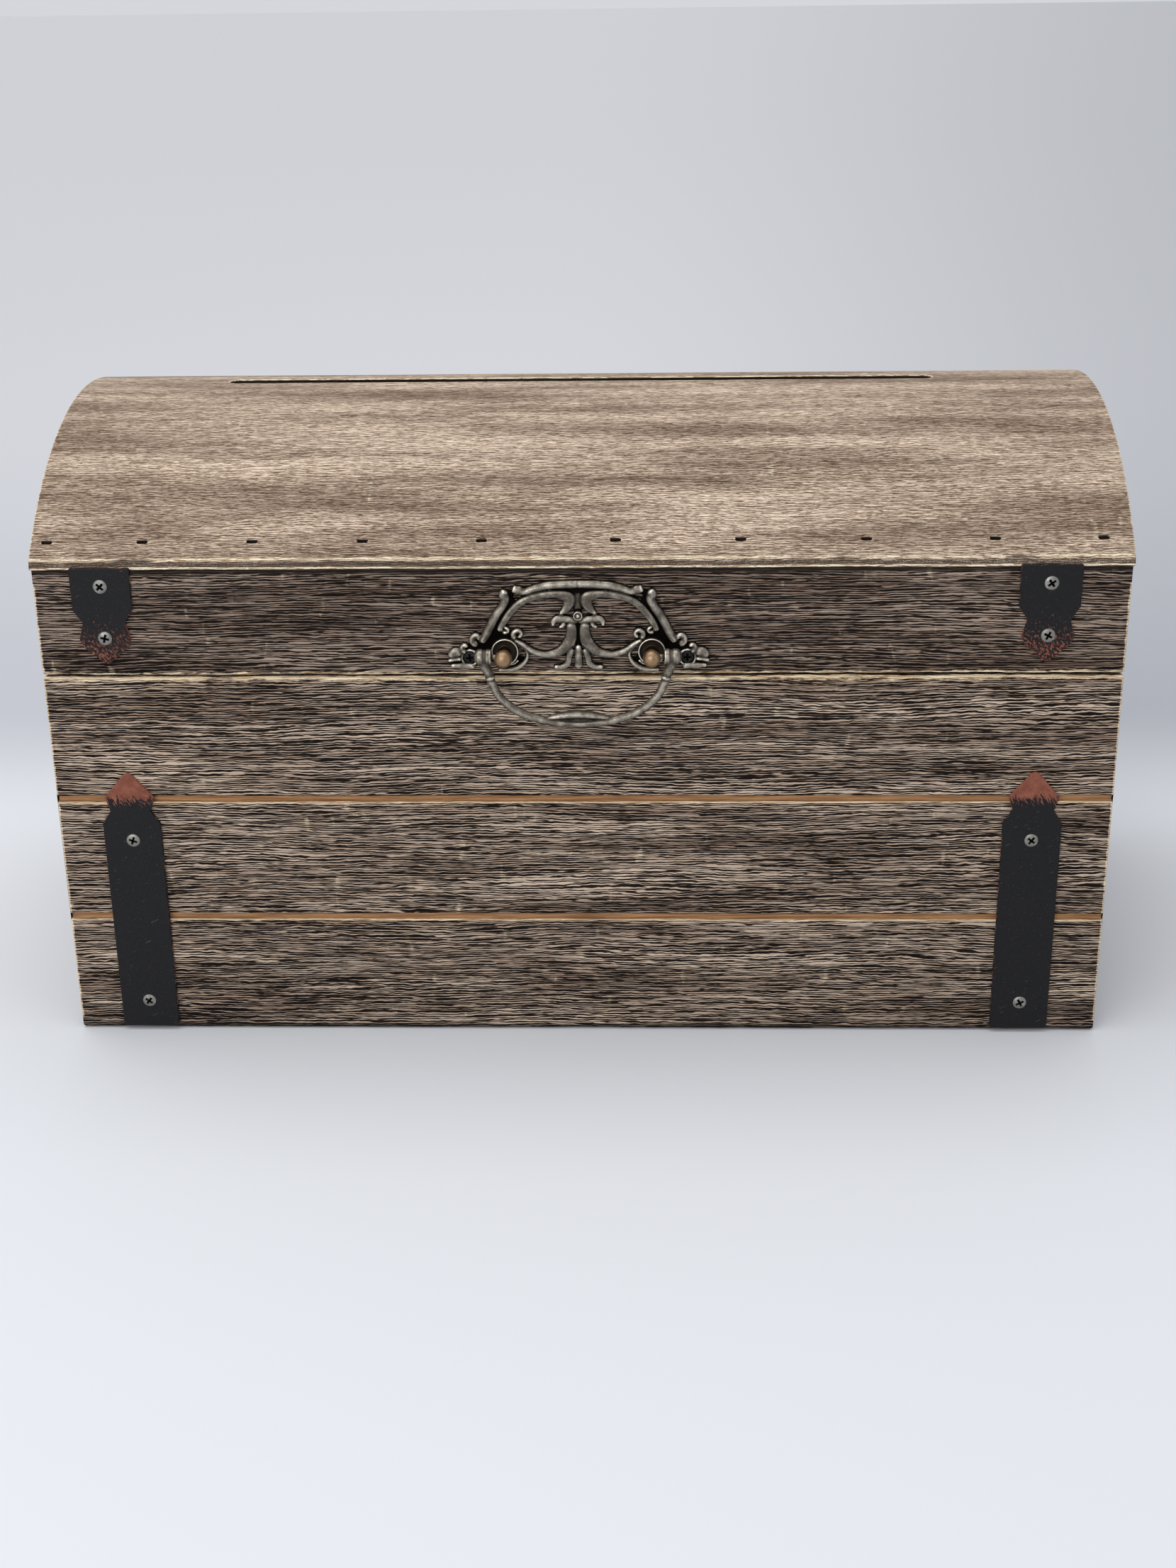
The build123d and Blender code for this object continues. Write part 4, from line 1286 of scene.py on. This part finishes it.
@dataclass
class Fasteners:
    """All screws, brads and staples of the box."""

    sizes: BoxSizes
    nail_x: Sequence[float]
    strap_thickness: float = 1.2
    to_front: Matrix = field(default_factory=lambda: Matrix.Rotation(math.pi / 2, 3, "X"))
    to_back: Matrix = field(default_factory=lambda: Matrix.Rotation(-math.pi / 2, 3, "X"))

    def node_places(self, node: str, face_y: float) -> list[tuple[float, float, float]]:
        """Returns the middle of each separate solid of a node, set on a face.

        Args:
            node: The frame node that groups the solids.
            face_y: The depth of the face that the heads sit on.

        Returns:
            One place for each solid.
        """
        work = bmesh.new()
        work.from_mesh(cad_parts[node].data)
        bmesh.ops.remove_doubles(work, verts=work.verts, dist=1e-6)
        waiting = set(work.verts)
        places = []
        while waiting:
            stack = [waiting.pop()]
            group = []
            while stack:
                vertex = stack.pop()
                group.append(vertex.co.copy())
                for edge in vertex.link_edges:
                    other = edge.other_vert(vertex)
                    if other in waiting:
                        waiting.remove(other)
                        stack.append(other)
            xs = [co.x for co in group]
            zs = [co.z for co in group]
            places.append(((min(xs) + max(xs)) / 2 / MM, face_y, (min(zs) + max(zs)) / 2 / MM))
        work.free()
        return sorted(places)

    def build(self) -> None:
        """Builds every group of fasteners."""
        # the screw heads get painted shade in their cross recesses
        steel = AgedMetal("screw_steel", tone(20, 19, 18), tone(140, 138, 132), tone(222, 219, 212),
                          roughness=0.28, painted_shade_depth=-self.sizes.half_depth - 1.35).material()
        black = AgedMetal("dark_screw", tone(18, 18, 18), tone(44, 43, 42), tone(92, 90, 86),
                          roughness=0.38).material()
        bronze = AgedMetal("hinge_screw_bronze", tone(34, 24, 15), tone(120, 92, 58), tone(180, 148, 104),
                           roughness=0.35).material()
        face = -self.sizes.half_depth - self.strap_thickness
        plate = -self.sizes.half_depth - 1.7
        back = self.sizes.half_depth + self.strap_thickness
        strap_head = CrossScrew(2.45, recess=1.3).master()
        plate_head = CrossScrew(2.2, dome=0.45).master()
        hinge_head = CrossScrew(2.1, dome=0.4).master()
        rows = (("body_strap_screws", "box", face, self.to_front, strap_head, steel, "screw_steel"),
                ("lid_strap_screws", "lid", face, self.to_front, strap_head, steel, "screw_steel"),
                ("handle_screws", "lid", plate + 0.5, self.to_front, plate_head, black, "dark_screw"),
                ("hinge_body_screws", "box", back, self.to_back, hinge_head, bronze, "hinge_bronze"),
                ("hinge_lid_screws", "lid", back, self.to_back, hinge_head, bronze, "hinge_bronze"))
        for seed, (node, body, depth, turn, master, material, slot) in enumerate(rows):
            row = FastenerRow(f"{node}_heads", self.node_places(node, depth), turn, master, seed + 3)
            dress(row.build(material), material, body, slot, node)
        self.build_brads()
        for master in (strap_head, plate_head, hinge_head):
            bpy.data.objects.remove(master)

    def build_brads(self) -> None:
        """Builds the brad heads in their pockets and gives the staple crowns by the slot their wire finish.
        """
        wire = AgedMetal("brad_wire", tone(16, 14, 12), tone(54, 49, 44), tone(210, 205, 196),
                         roughness=0.28).material()
        corners = np.array([(x, y, z) for z in (-1.2, 0.0) for x, y in ((-1.5, -0.45), (1.5, -0.45),
                                                                        (1.5, 0.45), (-1.5, 0.45))])
        head = new_object("brad_master", corners, [[0, 1, 2, 3], [4, 5, 6, 7]] + WornBoard.side_faces(2, 4))
        outward(head)
        bevel = head.modifiers.new("soften", "BEVEL")
        bevel.width = 0.14 * MM
        bevel.segments = 2
        evaluated_mesh(head)
        none = Matrix.Identity(3)
        for name, side in (("front", -1), ("back", 1)):
            y = side * (self.sizes.half_depth - 5.0)
            z = self.sizes.arch_height(y) - 0.9
            row = FastenerRow(f"{name}_brad_heads", [(x, y, z) for x in self.nail_x], none, head,
                              seed=9 + side, spin=0.12)
            dress(row.build(wire), wire, "lid", "brad_steel", f"lid_{name}_brads")
        bpy.data.objects.remove(head)
        for node in ("slot_staples",):
            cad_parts[node].data.materials.clear()
            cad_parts[node].data.materials.append(wire)


# ---------------------------------------------------------------- handle

@dataclass(frozen=True)
class Scroll:
    """One raised band of the backplate: a smooth line with a width at each point."""

    points: Sequence[Point]
    widths: Sequence[float]
    height: float = 1.3
    base: float = 1.1

    def shell(self, mirror: bool) -> tuple[np.ndarray, list[list[int]]]:
        """Makes the closed half-round band.

        Args:
            mirror: True for the left half of the plate.

        Returns:
            Vertices as (x, out, z) in millimetres, and faces.
        """
        length = float(np.sum(np.linalg.norm(np.diff(np.asarray(self.points), axis=0), axis=1)))
        count = max(8, int(length / 0.45))
        line = spline(self.points, count)
        at = np.linspace(0, 1, count)
        width = np.interp(at, np.linspace(0, 1, len(self.widths)), self.widths)
        end = min(0.5, width.mean() / 2 / max(length, 0.1))
        near = np.minimum(np.minimum(at, 1 - at) / max(end, 1e-6), 1.0)
        taper = np.sqrt(np.maximum(1 - (1 - near) ** 2, 0.02))
        ahead = np.gradient(line, axis=0)
        ahead /= np.maximum(np.linalg.norm(ahead, axis=1), 1e-9)[:, None]
        side = np.stack([-ahead[:, 1], ahead[:, 0]], 1)
        ring = [(math.cos(math.pi * k / 8), math.sin(math.pi * k / 8) ** 0.8) for k in range(9)]
        vertices = []
        for index in range(count):
            half = width[index] / 2 * taper[index]
            for across, up in ring:
                flat = line[index] + side[index] * half * across
                vertices.append((flat[0], self.base + self.height * up * taper[index], flat[1]))
            for across in (-1, 1):
                flat = line[index] + side[index] * half * across
                vertices.append((flat[0], -0.3, flat[1]))
        made = np.array(vertices)
        if mirror:
            made[:, 0] *= -1
        per = len(ring) + 2
        faces = WornBoard.side_faces(count, per)
        faces.append(list(range(per)))
        faces.append(list(range((count - 1) * per, count * per)))
        return made, faces


def volute(centre: Point, radius: float, start: float, turns: float, width: float,
           clockwise: bool = False) -> Scroll:
    """Makes a small spiral scroll end.

    Args:
        centre: The middle of the spiral.
        radius: The outer radius of its centre line.
        start: The angle where it begins, in degrees.
        turns: How many turns it makes.
        width: The band's width at the outside.
        clockwise: Which way it winds.

    Returns:
        The spiral as a scroll.
    """
    sign = -1.0 if clockwise else 1.0
    points = []
    for step in range(13):
        share = step / 12
        angle = math.radians(start) + sign * math.tau * turns * share
        reach = radius * (1 - 0.72 * share)
        points.append((centre[0] + reach * math.cos(angle), centre[1] + reach * math.sin(angle)))
    return Scroll(points, [width, 0.8 * width, 0.7 * width], height=1.5)


@dataclass
class BailHandle:
    """The openwork backplate, its two ball posts and the swinging bail."""

    sizes: BoxSizes
    voxel: float = 0.23
    post_x: float = 25.6
    pivot_out: float = 8.5
    pivot_z: float = 149.5
    screw_x: float = 38.0
    screw_z: float = 147.0

    def scrolls(self) -> list[Scroll]:
        """Returns the bands of the right half of the backplate."""
        return [
            Scroll([(-2.5, 173.5), (8.7, 173.2), (14.4, 172.1), (18.2, 170.9), (20.4, 171.3), (22.7, 172.0)],
                   [2.9, 2.9, 2.8, 2.4, 3.4, 2.6], 1.7),
            Scroll([(24.8, 171.6), (25.6, 169.9), (25.2, 168.0), (26.4, 165.4), (28.3, 162.7), (30.5, 158.6),
                    (32.2, 155.2), (34.0, 152.4)], [2.6, 3.6, 3.3, 3.0, 3.1, 3.2, 3.1, 2.6], 1.7),
            Scroll([(6.6, 162.7), (4.3, 164.5), (3.2, 166.4), (3.4, 168.7), (7.4, 169.9), (12.7, 169.5),
                    (17.6, 168.1), (21.2, 165.8), (24.2, 162.4), (26.4, 159.0), (27.6, 156.4)],
                   [0.9, 3.0, 4.0, 4.4, 2.9, 2.8, 2.8, 2.8, 2.8, 2.5, 2.1], 1.3),
            Scroll([(-0.6, 160.2), (4.4, 160.9), (7.2, 161.0), (8.5, 160.0), (8.8, 158.3)],
                   [2.2, 2.7, 2.7, 2.2, 0.9], 1.2),
            Scroll([(4.6, 160.2), (5.4, 158.6), (6.9, 157.9)], [1.8, 1.8, 0.9], 1.1),
            Scroll([(2.5, 160.0), (2.3, 156.0), (3.2, 152.6), (6.6, 149.2), (11.6, 148.1), (16.0, 149.4),
                    (19.6, 152.0), (22.6, 153.6)], [3.2, 4.0, 4.4, 3.4, 2.5, 2.2, 1.9, 1.5], 1.4),
            Scroll([(2.2, 150.6), (3.2, 147.4), (3.9, 144.8), (6.0, 143.5), (8.8, 143.7)],
                   [2.4, 2.4, 2.4, 2.0, 1.5], 1.1),
            Scroll([(0.0, 151.8), (0.0, 147.4), (0.0, 142.9)], [2.2, 2.8, 2.8], 1.2),
            Scroll([(22.0, 152.6), (18.6, 150.2), (17.8, 147.8), (19.4, 144.8), (23.0, 142.8), (28.4, 142.6)],
                   [0.9, 1.0, 1.3, 1.8, 1.9, 1.4], 1.1),
            Scroll([(20.8, 146.2), (22.6, 144.9), (24.6, 144.4)], [0.9, 1.1, 0.9], 0.8),
            Scroll([(40.4, 149.2), (43.2, 148.9), (45.5, 147.3)], [3.2, 3.8, 2.4], 1.6),
            Scroll([(40.8, 146.6), (43.4, 146.5), (45.9, 145.9)], [1.5, 1.7, 1.1], 1.2),
            Scroll([(36.2, 143.9), (40.6, 144.0), (45.0, 144.2)], [2.0, 2.4, 1.4], 1.1),
            volute((20.9, 155.5), 2.0, 290, 1.0, 2.3),
            volute((25.2, 157.3), 1.3, 340, 0.85, 1.8, clockwise=True),
            volute((35.4, 153.9), 2.0, 250, 0.9, 2.9),
            volute((39.5, 150.8), 1.5, 240, 0.85, 2.5),
        ]

    def webs(self) -> list[Scroll]:
        """Returns the lower metal of the right half that joins the bands."""
        return [
            Scroll([(-0.4, 171.4), (5.0, 171.6), (12.0, 171.0), (20.0, 169.4)],
                   [3.6, 3.0, 2.4, 2.4], 0.4, 0.6),
            Scroll([(-0.2, 171.0), (0.2, 167.0), (0.4, 163.4)], [6.4, 4.2, 2.6], 0.6, 0.8),
            Scroll([(22.4, 168.6), (25.2, 163.4), (28.0, 158.6), (29.6, 154.6), (30.2, 150.6)],
                   [2.8, 3.0, 3.2, 4.6, 5.2], 0.4, 0.6),
            Scroll([(23.6, 171.2), (22.8, 168.8)], [2.4, 2.4], 0.4, 0.6),
            Scroll([(27.0, 148.2), (33.0, 148.4), (38.0, 147.7), (43.0, 146.8)],
                   [5.0, 8.0, 8.6, 5.2], 0.4, 0.6),
            Scroll([(0.0, 161.2), (0.0, 156.0), (0.2, 151.6)], [2.8, 2.8, 3.0], 0.4, 0.7),
            Scroll([(21.6, 153.8), (24.6, 155.4), (28.8, 154.2)], [1.8, 2.4, 3.0], 0.3, 0.6),
            Scroll([(19.6, 147.6), (21.6, 145.4), (24.6, 144.6)], [1.4, 2.2, 2.2], 0.3, 0.5),
        ]

    def turned(self, at: Point, profile: Sequence[Point],
               side: int) -> tuple[np.ndarray, list[tuple[int, ...]]]:
        """Makes a turned part of the plate facing the front, as (x, out, z)."""
        vertices, faces = lathe(profile, 36)
        made = np.stack([side * at[0] + vertices[:, 0], vertices[:, 2], at[1] + vertices[:, 1]], 1)
        return made, faces

    def plate_shells(self) -> list[tuple[np.ndarray, list]]:
        """Returns every closed shell that the plate is cast from."""
        shells: list[tuple[np.ndarray, list]] = []
        cup = [(0, -0.3), (4.8, -0.3), (4.8, 3.0), (4.7, 3.4), (4.5, 3.5), (4.25, 3.3), (3.9, 2.5),
               (3.2, 1.9), (2.4, 1.75), (0, 1.7)]
        seat = [(0, -0.3), (3.3, -0.3), (3.3, 1.3), (2.9, 1.8), (2.5, 1.7), (2.25, 0.9), (0, 0.8)]
        for mirror in (False, True):
            side = -1 if mirror else 1
            shells += [band.shell(mirror) for band in self.scrolls() + self.webs()]
            shells.append(self.turned((self.post_x, self.pivot_z), cup, side))
            shells.append(self.turned((self.screw_x, self.screw_z), seat, side))
        rose = [(0, -0.3), (1.7, -0.3), (1.7, 2.5), (1.45, 2.9), (1.15, 2.75), (0.9, 2.3), (0.7, 2.75),
                (0.35, 3.0), (0, 3.05)]
        shells.append(self.turned((0.0, 162.3), rose, 1))
        return shells

    def build_plate(self, material: bpy.types.Material) -> None:
        """Casts the backplate as one skin over its bands."""
        front = -self.sizes.half_depth
        parts = []
        for vertices, faces in self.plate_shells():
            place = np.stack([vertices[:, 0], front - vertices[:, 1], vertices[:, 2]], 1)
            part = new_object("band", place, faces)
            outward(part)
            parts.append(part)
        plate = joined("backplate_casting", parts)
        self.remesh(plate, self.voxel)
        for vertex in plate.data.vertices:
            vertex.co.y = min(vertex.co.y, front * MM)
        # painted highlight and painted shade from the casting's relief
        store_rub_and_painted_light(plate)
        dress(plate, material, "lid", "antique_pewter", "handle_backplate")

    def remesh(self, piece: bpy.types.Object, voxel: float) -> None:
        """Casts overlapping shells into one smooth skin."""
        remesh = piece.modifiers.new("cast", "REMESH")
        remesh.mode = "VOXEL"
        remesh.voxel_size = voxel * MM
        remesh.use_smooth_shade = True
        smooth = piece.modifiers.new("soften", "SMOOTH")
        smooth.factor = 0.5
        smooth.iterations = 2
        evaluated_mesh(piece)

    def build_posts(self, material: bpy.types.Material) -> None:
        """Builds the two ball-ended posts."""
        profile = [(0.0, 0.0), (2.3, 0.0), (2.3, 1.9), (2.7, 2.2), (2.7, 2.9), (2.2, 3.3), (2.0, 4.6),
                   (2.0, 6.2), (2.25, 8.2)]
        ball = 3.1
        for step in range(1, 15):
            angle = -math.pi / 4 + (3 * math.pi / 4) * step / 14
            profile.append((max(ball * math.cos(angle), 0.0), 11.0 + ball * math.sin(angle)))
        profile[-1] = (0.0, 11.0 + ball)
        for name, side in (("left", -1), ("right", 1)):
            vertices, faces = lathe(profile, 44)
            place = np.stack([side * self.post_x + vertices[:, 0], -self.sizes.half_depth - vertices[:, 2],
                              self.pivot_z + vertices[:, 1]], 1)
            post = new_object(f"ball_post_{name}", place, faces)
            outward(post)
            cutter, cutter_faces = lathe([(0, 0), (0.98, 0), (0.98, 5.0), (0, 5.0)], 24)
            turn = Matrix.Rotation(side * math.pi / 2, 3, "Y")
            centre = (side * 25.8, -self.sizes.half_depth - self.pivot_out, self.pivot_z)
            bore = new_object("bore", placed(cutter, turn, centre), cutter_faces)
            outward(bore)
            cut(post, bore)
            smooth_by_angle(post, 40.0)
            dress(post, material, "lid", "rubbed_brass", f"handle_post_{name}")

    def tube(self, points: np.ndarray, radii: np.ndarray, depth: float = 1.0) -> tuple[np.ndarray, list]:
        """Makes a closed round bar in the XZ plane.

        Args:
            points: The centre line as (x, z).
            radii: The radius at each point.
            depth: How deep the bar is against its height.

        Returns:
            Vertices as (x, y, z) and faces.
        """
        sides = 20
        ahead = np.gradient(points, axis=0)
        ahead /= np.maximum(np.linalg.norm(ahead, axis=1), 1e-9)[:, None]
        normal = np.stack([-ahead[:, 1], ahead[:, 0]], 1)
        vertices = []
        for index, point in enumerate(points):
            for step in range(sides):
                angle = math.tau * step / sides
                flat = point + normal[index] * radii[index] * math.cos(angle)
                vertices.append((flat[0], depth * radii[index] * math.sin(angle), flat[1]))
        faces = WornBoard.side_faces(len(points), sides)
        faces.append(list(range(sides)))
        faces.append(list(range((len(points) - 1) * sides, len(points) * sides)))
        return np.array(vertices), faces

    def bail_shells(self) -> list[tuple[np.ndarray, list]]:
        """Returns every closed shell of the bail, as (x, y, z) about its own plane."""
        right = [(0.0, 124.8), (10.0, 125.8), (20.0, 129.0), (26.8, 134.2), (29.9, 139.9), (30.4, 141.6)]
        left = [(-x, z) for x, z in right[:0:-1]]
        line = spline(left + right, 110)
        radii = 1.24 + 0.26 * np.minimum(np.abs(line[:, 0]) / 14.0, 1.0)
        shells = [self.tube(line, radii)]
        grip = np.stack([np.linspace(-13.2, 13.2, 60), np.zeros(60)], 1)
        share = np.abs(grip[:, 0]) / 13.2
        grip[:, 1] = 128.5 - 2.2 * share ** 2.0
        shells.append(self.tube(grip, 0.3 + 1.1 * (1 - share ** 2.2), 1.5))
        web = np.stack([np.linspace(-10.0, 10.0, 40), np.full(40, 126.6)], 1)
        shells.append(self.tube(web, np.full(40, 0.8), 0.4))
        for side in (-1, 1):
            neck = spline([(30.4 * side, 141.2), (31.0 * side, 143.6), (32.2 * side, 146.4),
                           (32.6 * side, 149.4)], 16)
            shells.append(self.tube(neck, np.linspace(1.35, 2.2, 16)))
            ring = spline([(30.3 * side, 141.2), (30.7 * side, 142.7)], 8)
            shells.append(self.tube(ring, np.array([1.3, 1.65, 1.8, 1.85, 1.85, 1.8, 1.65, 1.3])))
            boss = [(0, -0.1), (2.5, -0.1), (2.75, 0.15), (2.8, 1.4), (2.45, 2.0), (2.5, 2.6), (2.8, 3.4),
                    (2.75, 4.4), (2.3, 5.2), (1.5, 5.8), (0.0, 6.0)]
            for profile in (boss, [(0, -3.8), (0.88, -3.8), (0.88, 1.0), (0, 1.0)]):
                vertices, faces = lathe(profile, 36)
                turn = Matrix.Rotation(side * math.pi / 2, 3, "Y")
                shells.append((placed(vertices, turn, (side * 30.0, 0.0, self.pivot_z)), faces))
        return shells

    def build_bail(self, material: bpy.types.Material) -> None:
        """Builds the bail as one casting that hangs from the posts."""
        plane = -self.sizes.half_depth - self.pivot_out
        parts = []
        for vertices, faces in self.bail_shells():
            part = new_object("bar", vertices + np.array((0.0, plane, 0.0)), faces)
            outward(part)
            parts.append(part)
        bail = joined("bail_casting", parts)
        self.remesh(bail, 0.22)
        store_rub_and_painted_light(bail)
        dress(bail, material, "bail", "antique_pewter", "handle_bail")

    def build(self) -> None:
        """Builds the whole handle."""
        # the pewter gets painted shade on the plate's low parts near the box face
        pewter = AgedMetal("antique_pewter", tone(16, 14, 12), tone(92, 85, 76), tone(214, 206, 190),
                           stored_rub=True, grit=0.35, roughness=0.34,
                           painted_shade_depth=-self.sizes.half_depth - 1.6).material()
        # the ball posts get painted shade on their stems near the panel
        brass = AgedMetal("rubbed_brass", tone(52, 40, 30), tone(156, 128, 98), tone(250, 226, 188),
                          roughness=0.2, grit=0.3, painted_shade_depth=-self.sizes.half_depth - 7.0).material()
        self.build_plate(pewter)
        self.build_posts(brass)
        self.build_bail(pewter)


def store_rub_and_painted_light(piece: bpy.types.Object, rounds: int = 3) -> None:
    """Stores how far each point stands proud of its neighbours, for rubbed metal with a painted highlight on
    proud places and painted shade in hollows.

    Args:
        piece: A dense closed mesh.
        rounds: How often the numbers are evened out.
    """
    mesh = piece.data
    count = len(mesh.vertices)
    places = np.empty(count * 3, np.float32)
    mesh.vertices.foreach_get("co", places)
    normals = np.empty(count * 3, np.float32)
    mesh.vertices.foreach_get("normal", normals)
    ends = np.empty(len(mesh.edges) * 2, np.int32)
    mesh.edges.foreach_get("vertices", ends)
    places, normals, ends = places.reshape(-1, 3), normals.reshape(-1, 3), ends.reshape(-1, 2)
    degree = np.bincount(ends.ravel(), minlength=count).astype(float)

    def around(values: np.ndarray) -> np.ndarray:
        """Returns the mean of each point's neighbours."""
        total = np.zeros_like(values, dtype=float)
        np.add.at(total, ends[:, 0], values[ends[:, 1]])
        np.add.at(total, ends[:, 1], values[ends[:, 0]])
        return total / np.maximum(degree, 1).reshape((-1,) + (1,) * (values.ndim - 1))

    even = places.astype(float)
    for _ in range(rounds):
        even = around(even)
    proud = np.einsum("ij,ij->i", places - even, normals) / MM
    for _ in range(rounds):
        proud = around(proud)
    rub = np.clip(0.5 + proud / 0.16, 0, 1)
    stored = mesh.attributes.new("rub", "FLOAT", "POINT")
    stored.data.foreach_set("value", rub.astype(np.float32))


# ---------------------------------------------------------------- straps and hinges

@dataclass
class Ironwork:
    """Straps and hinges, which keep the frame's own meshes and get their finish."""

    def build(self) -> None:
        """Gives every strap, hinge and inner board its material."""
        body = StrapPaint("body_strap_paint", copper_from=89.0, copper_to=98.0, full=1.0, flecks=0.05,
                          face_depth=-101.2).material()
        lid = StrapPaint("lid_strap_paint", copper_from=163.0, copper_to=143.0, full=0.0, flecks=0.215,
                         face_depth=-101.2).material()
        bronze = AgedMetal("hinge_bronze", tone(26, 20, 14), tone(82, 64, 44), tone(142, 116, 82),
                           roughness=0.38, grit=0.5, relief_mm=0.02).material()
        bare = BareWood("bare_wood").material()
        finishes = {"body_strap_left": body, "body_strap_right": body, "lid_strap_left": lid,
                    "lid_strap_right": lid, "bottom_panel": bare, "slot_batten": bare}
        for hand in ("left", "right"):
            for part in ("body_leaf", "lid_leaf", "pin"):
                finishes[f"hinge_{hand}_{part}"] = bronze
        for node, material in finishes.items():
            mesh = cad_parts[node].data
            mesh.materials.clear()
            mesh.materials.append(material)
            LOG.info("%s: finish %s", node, material.name)


# ---------------------------------------------------------------- studio

@dataclass(frozen=True)
class Studio:
    """The floor, the soft lights and the camera."""

    lens: float = 46.378
    camera_at: tuple[float, float, float] = (0.0261, -0.7743, 0.3614)
    look_down: float = 21.249
    turn: float = 1.989
    roll: float = -0.771
    floor_size: float = 160.0

    def build(self) -> None:
        """Builds the stage."""
        self.build_floor()
        self.build_lights()
        self.build_camera()

    def build_floor(self) -> None:
        """Makes the plain floor under the box."""
        half = self.floor_size / 2 / MM
        corners = [(-half, -half, 0), (half, -half, 0), (half, half, 0), (-half, half, 0)]
        floor = new_object("floor", np.array(corners, float), [[0, 1, 2, 3]])
        floor.data.materials.append(FloorPaint().material())

    def area_light(self, name: str, at: Sequence[float], towards: Sequence[float], size: float,
                   power: float) -> None:
        """Adds one square area light that faces a point."""
        light = bpy.data.lights.new(name, "AREA")
        light.size = size
        light.energy = power
        made = bpy.data.objects.new(name, light)
        made.location = at
        made.rotation_euler = (Vector(towards) - Vector(at)).to_track_quat("-Z", "Y").to_euler()
        bpy.context.scene.collection.objects.link(made)

    def build_lights(self) -> None:
        """Adds a broad top light, a front fill and an even sky."""
        middle = (0.0, 0.0, 0.12)
        self.area_light("top_light", (-0.25, 0.0, 1.4), middle, 1.2, 8.6)
        self.area_light("front_fill", (-0.6, -1.5, 0.85), (0.0, -0.15, 0.06), 1.3, 11.5)
        world = bpy.data.worlds.new("studio_sky")
        world.use_nodes = True
        sky = world.node_tree.nodes["Background"]
        sky.inputs["Color"].default_value = tone(232, 234, 240)
        sky.inputs["Strength"].default_value = 0.82
        bpy.context.scene.world = world
        bpy.context.scene.view_settings.view_transform = "Standard"

    def build_camera(self) -> None:
        """Adds the camera at its measured place."""
        data = bpy.data.cameras.new("camera")
        data.lens = self.lens
        camera = bpy.data.objects.new("camera", data)
        turned = (Matrix.Rotation(math.radians(self.turn), 4, "Z")
                  @ Matrix.Rotation(math.radians(90 - self.look_down), 4, "X")
                  @ Matrix.Rotation(math.radians(self.roll), 4, "Z"))
        camera.matrix_world = Matrix.Translation(self.camera_at) @ turned
        bpy.context.scene.collection.objects.link(camera)
        bpy.context.scene.camera = camera


def main() -> None:
    """Builds the whole box."""
    logging.basicConfig(level=logging.INFO, format="%(message)s")
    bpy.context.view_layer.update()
    sizes = BoxSizes.from_frame()
    LOG.info("sizes %s", sizes)
    nail_x = (-184.7, -151.3, -112.9, -74.5, -33.2, 13.1, 56.2, 99.3, 143.3, 180.2)
    Studio().build()
    BoxBoards(sizes).build()
    LidSkin(sizes, CardSlot(), nail_x).build()
    Ironwork().build()
    Fasteners(sizes, nail_x).build()
    BailHandle(sizes).build()
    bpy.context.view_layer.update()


if __name__ == "__main__":
    main()
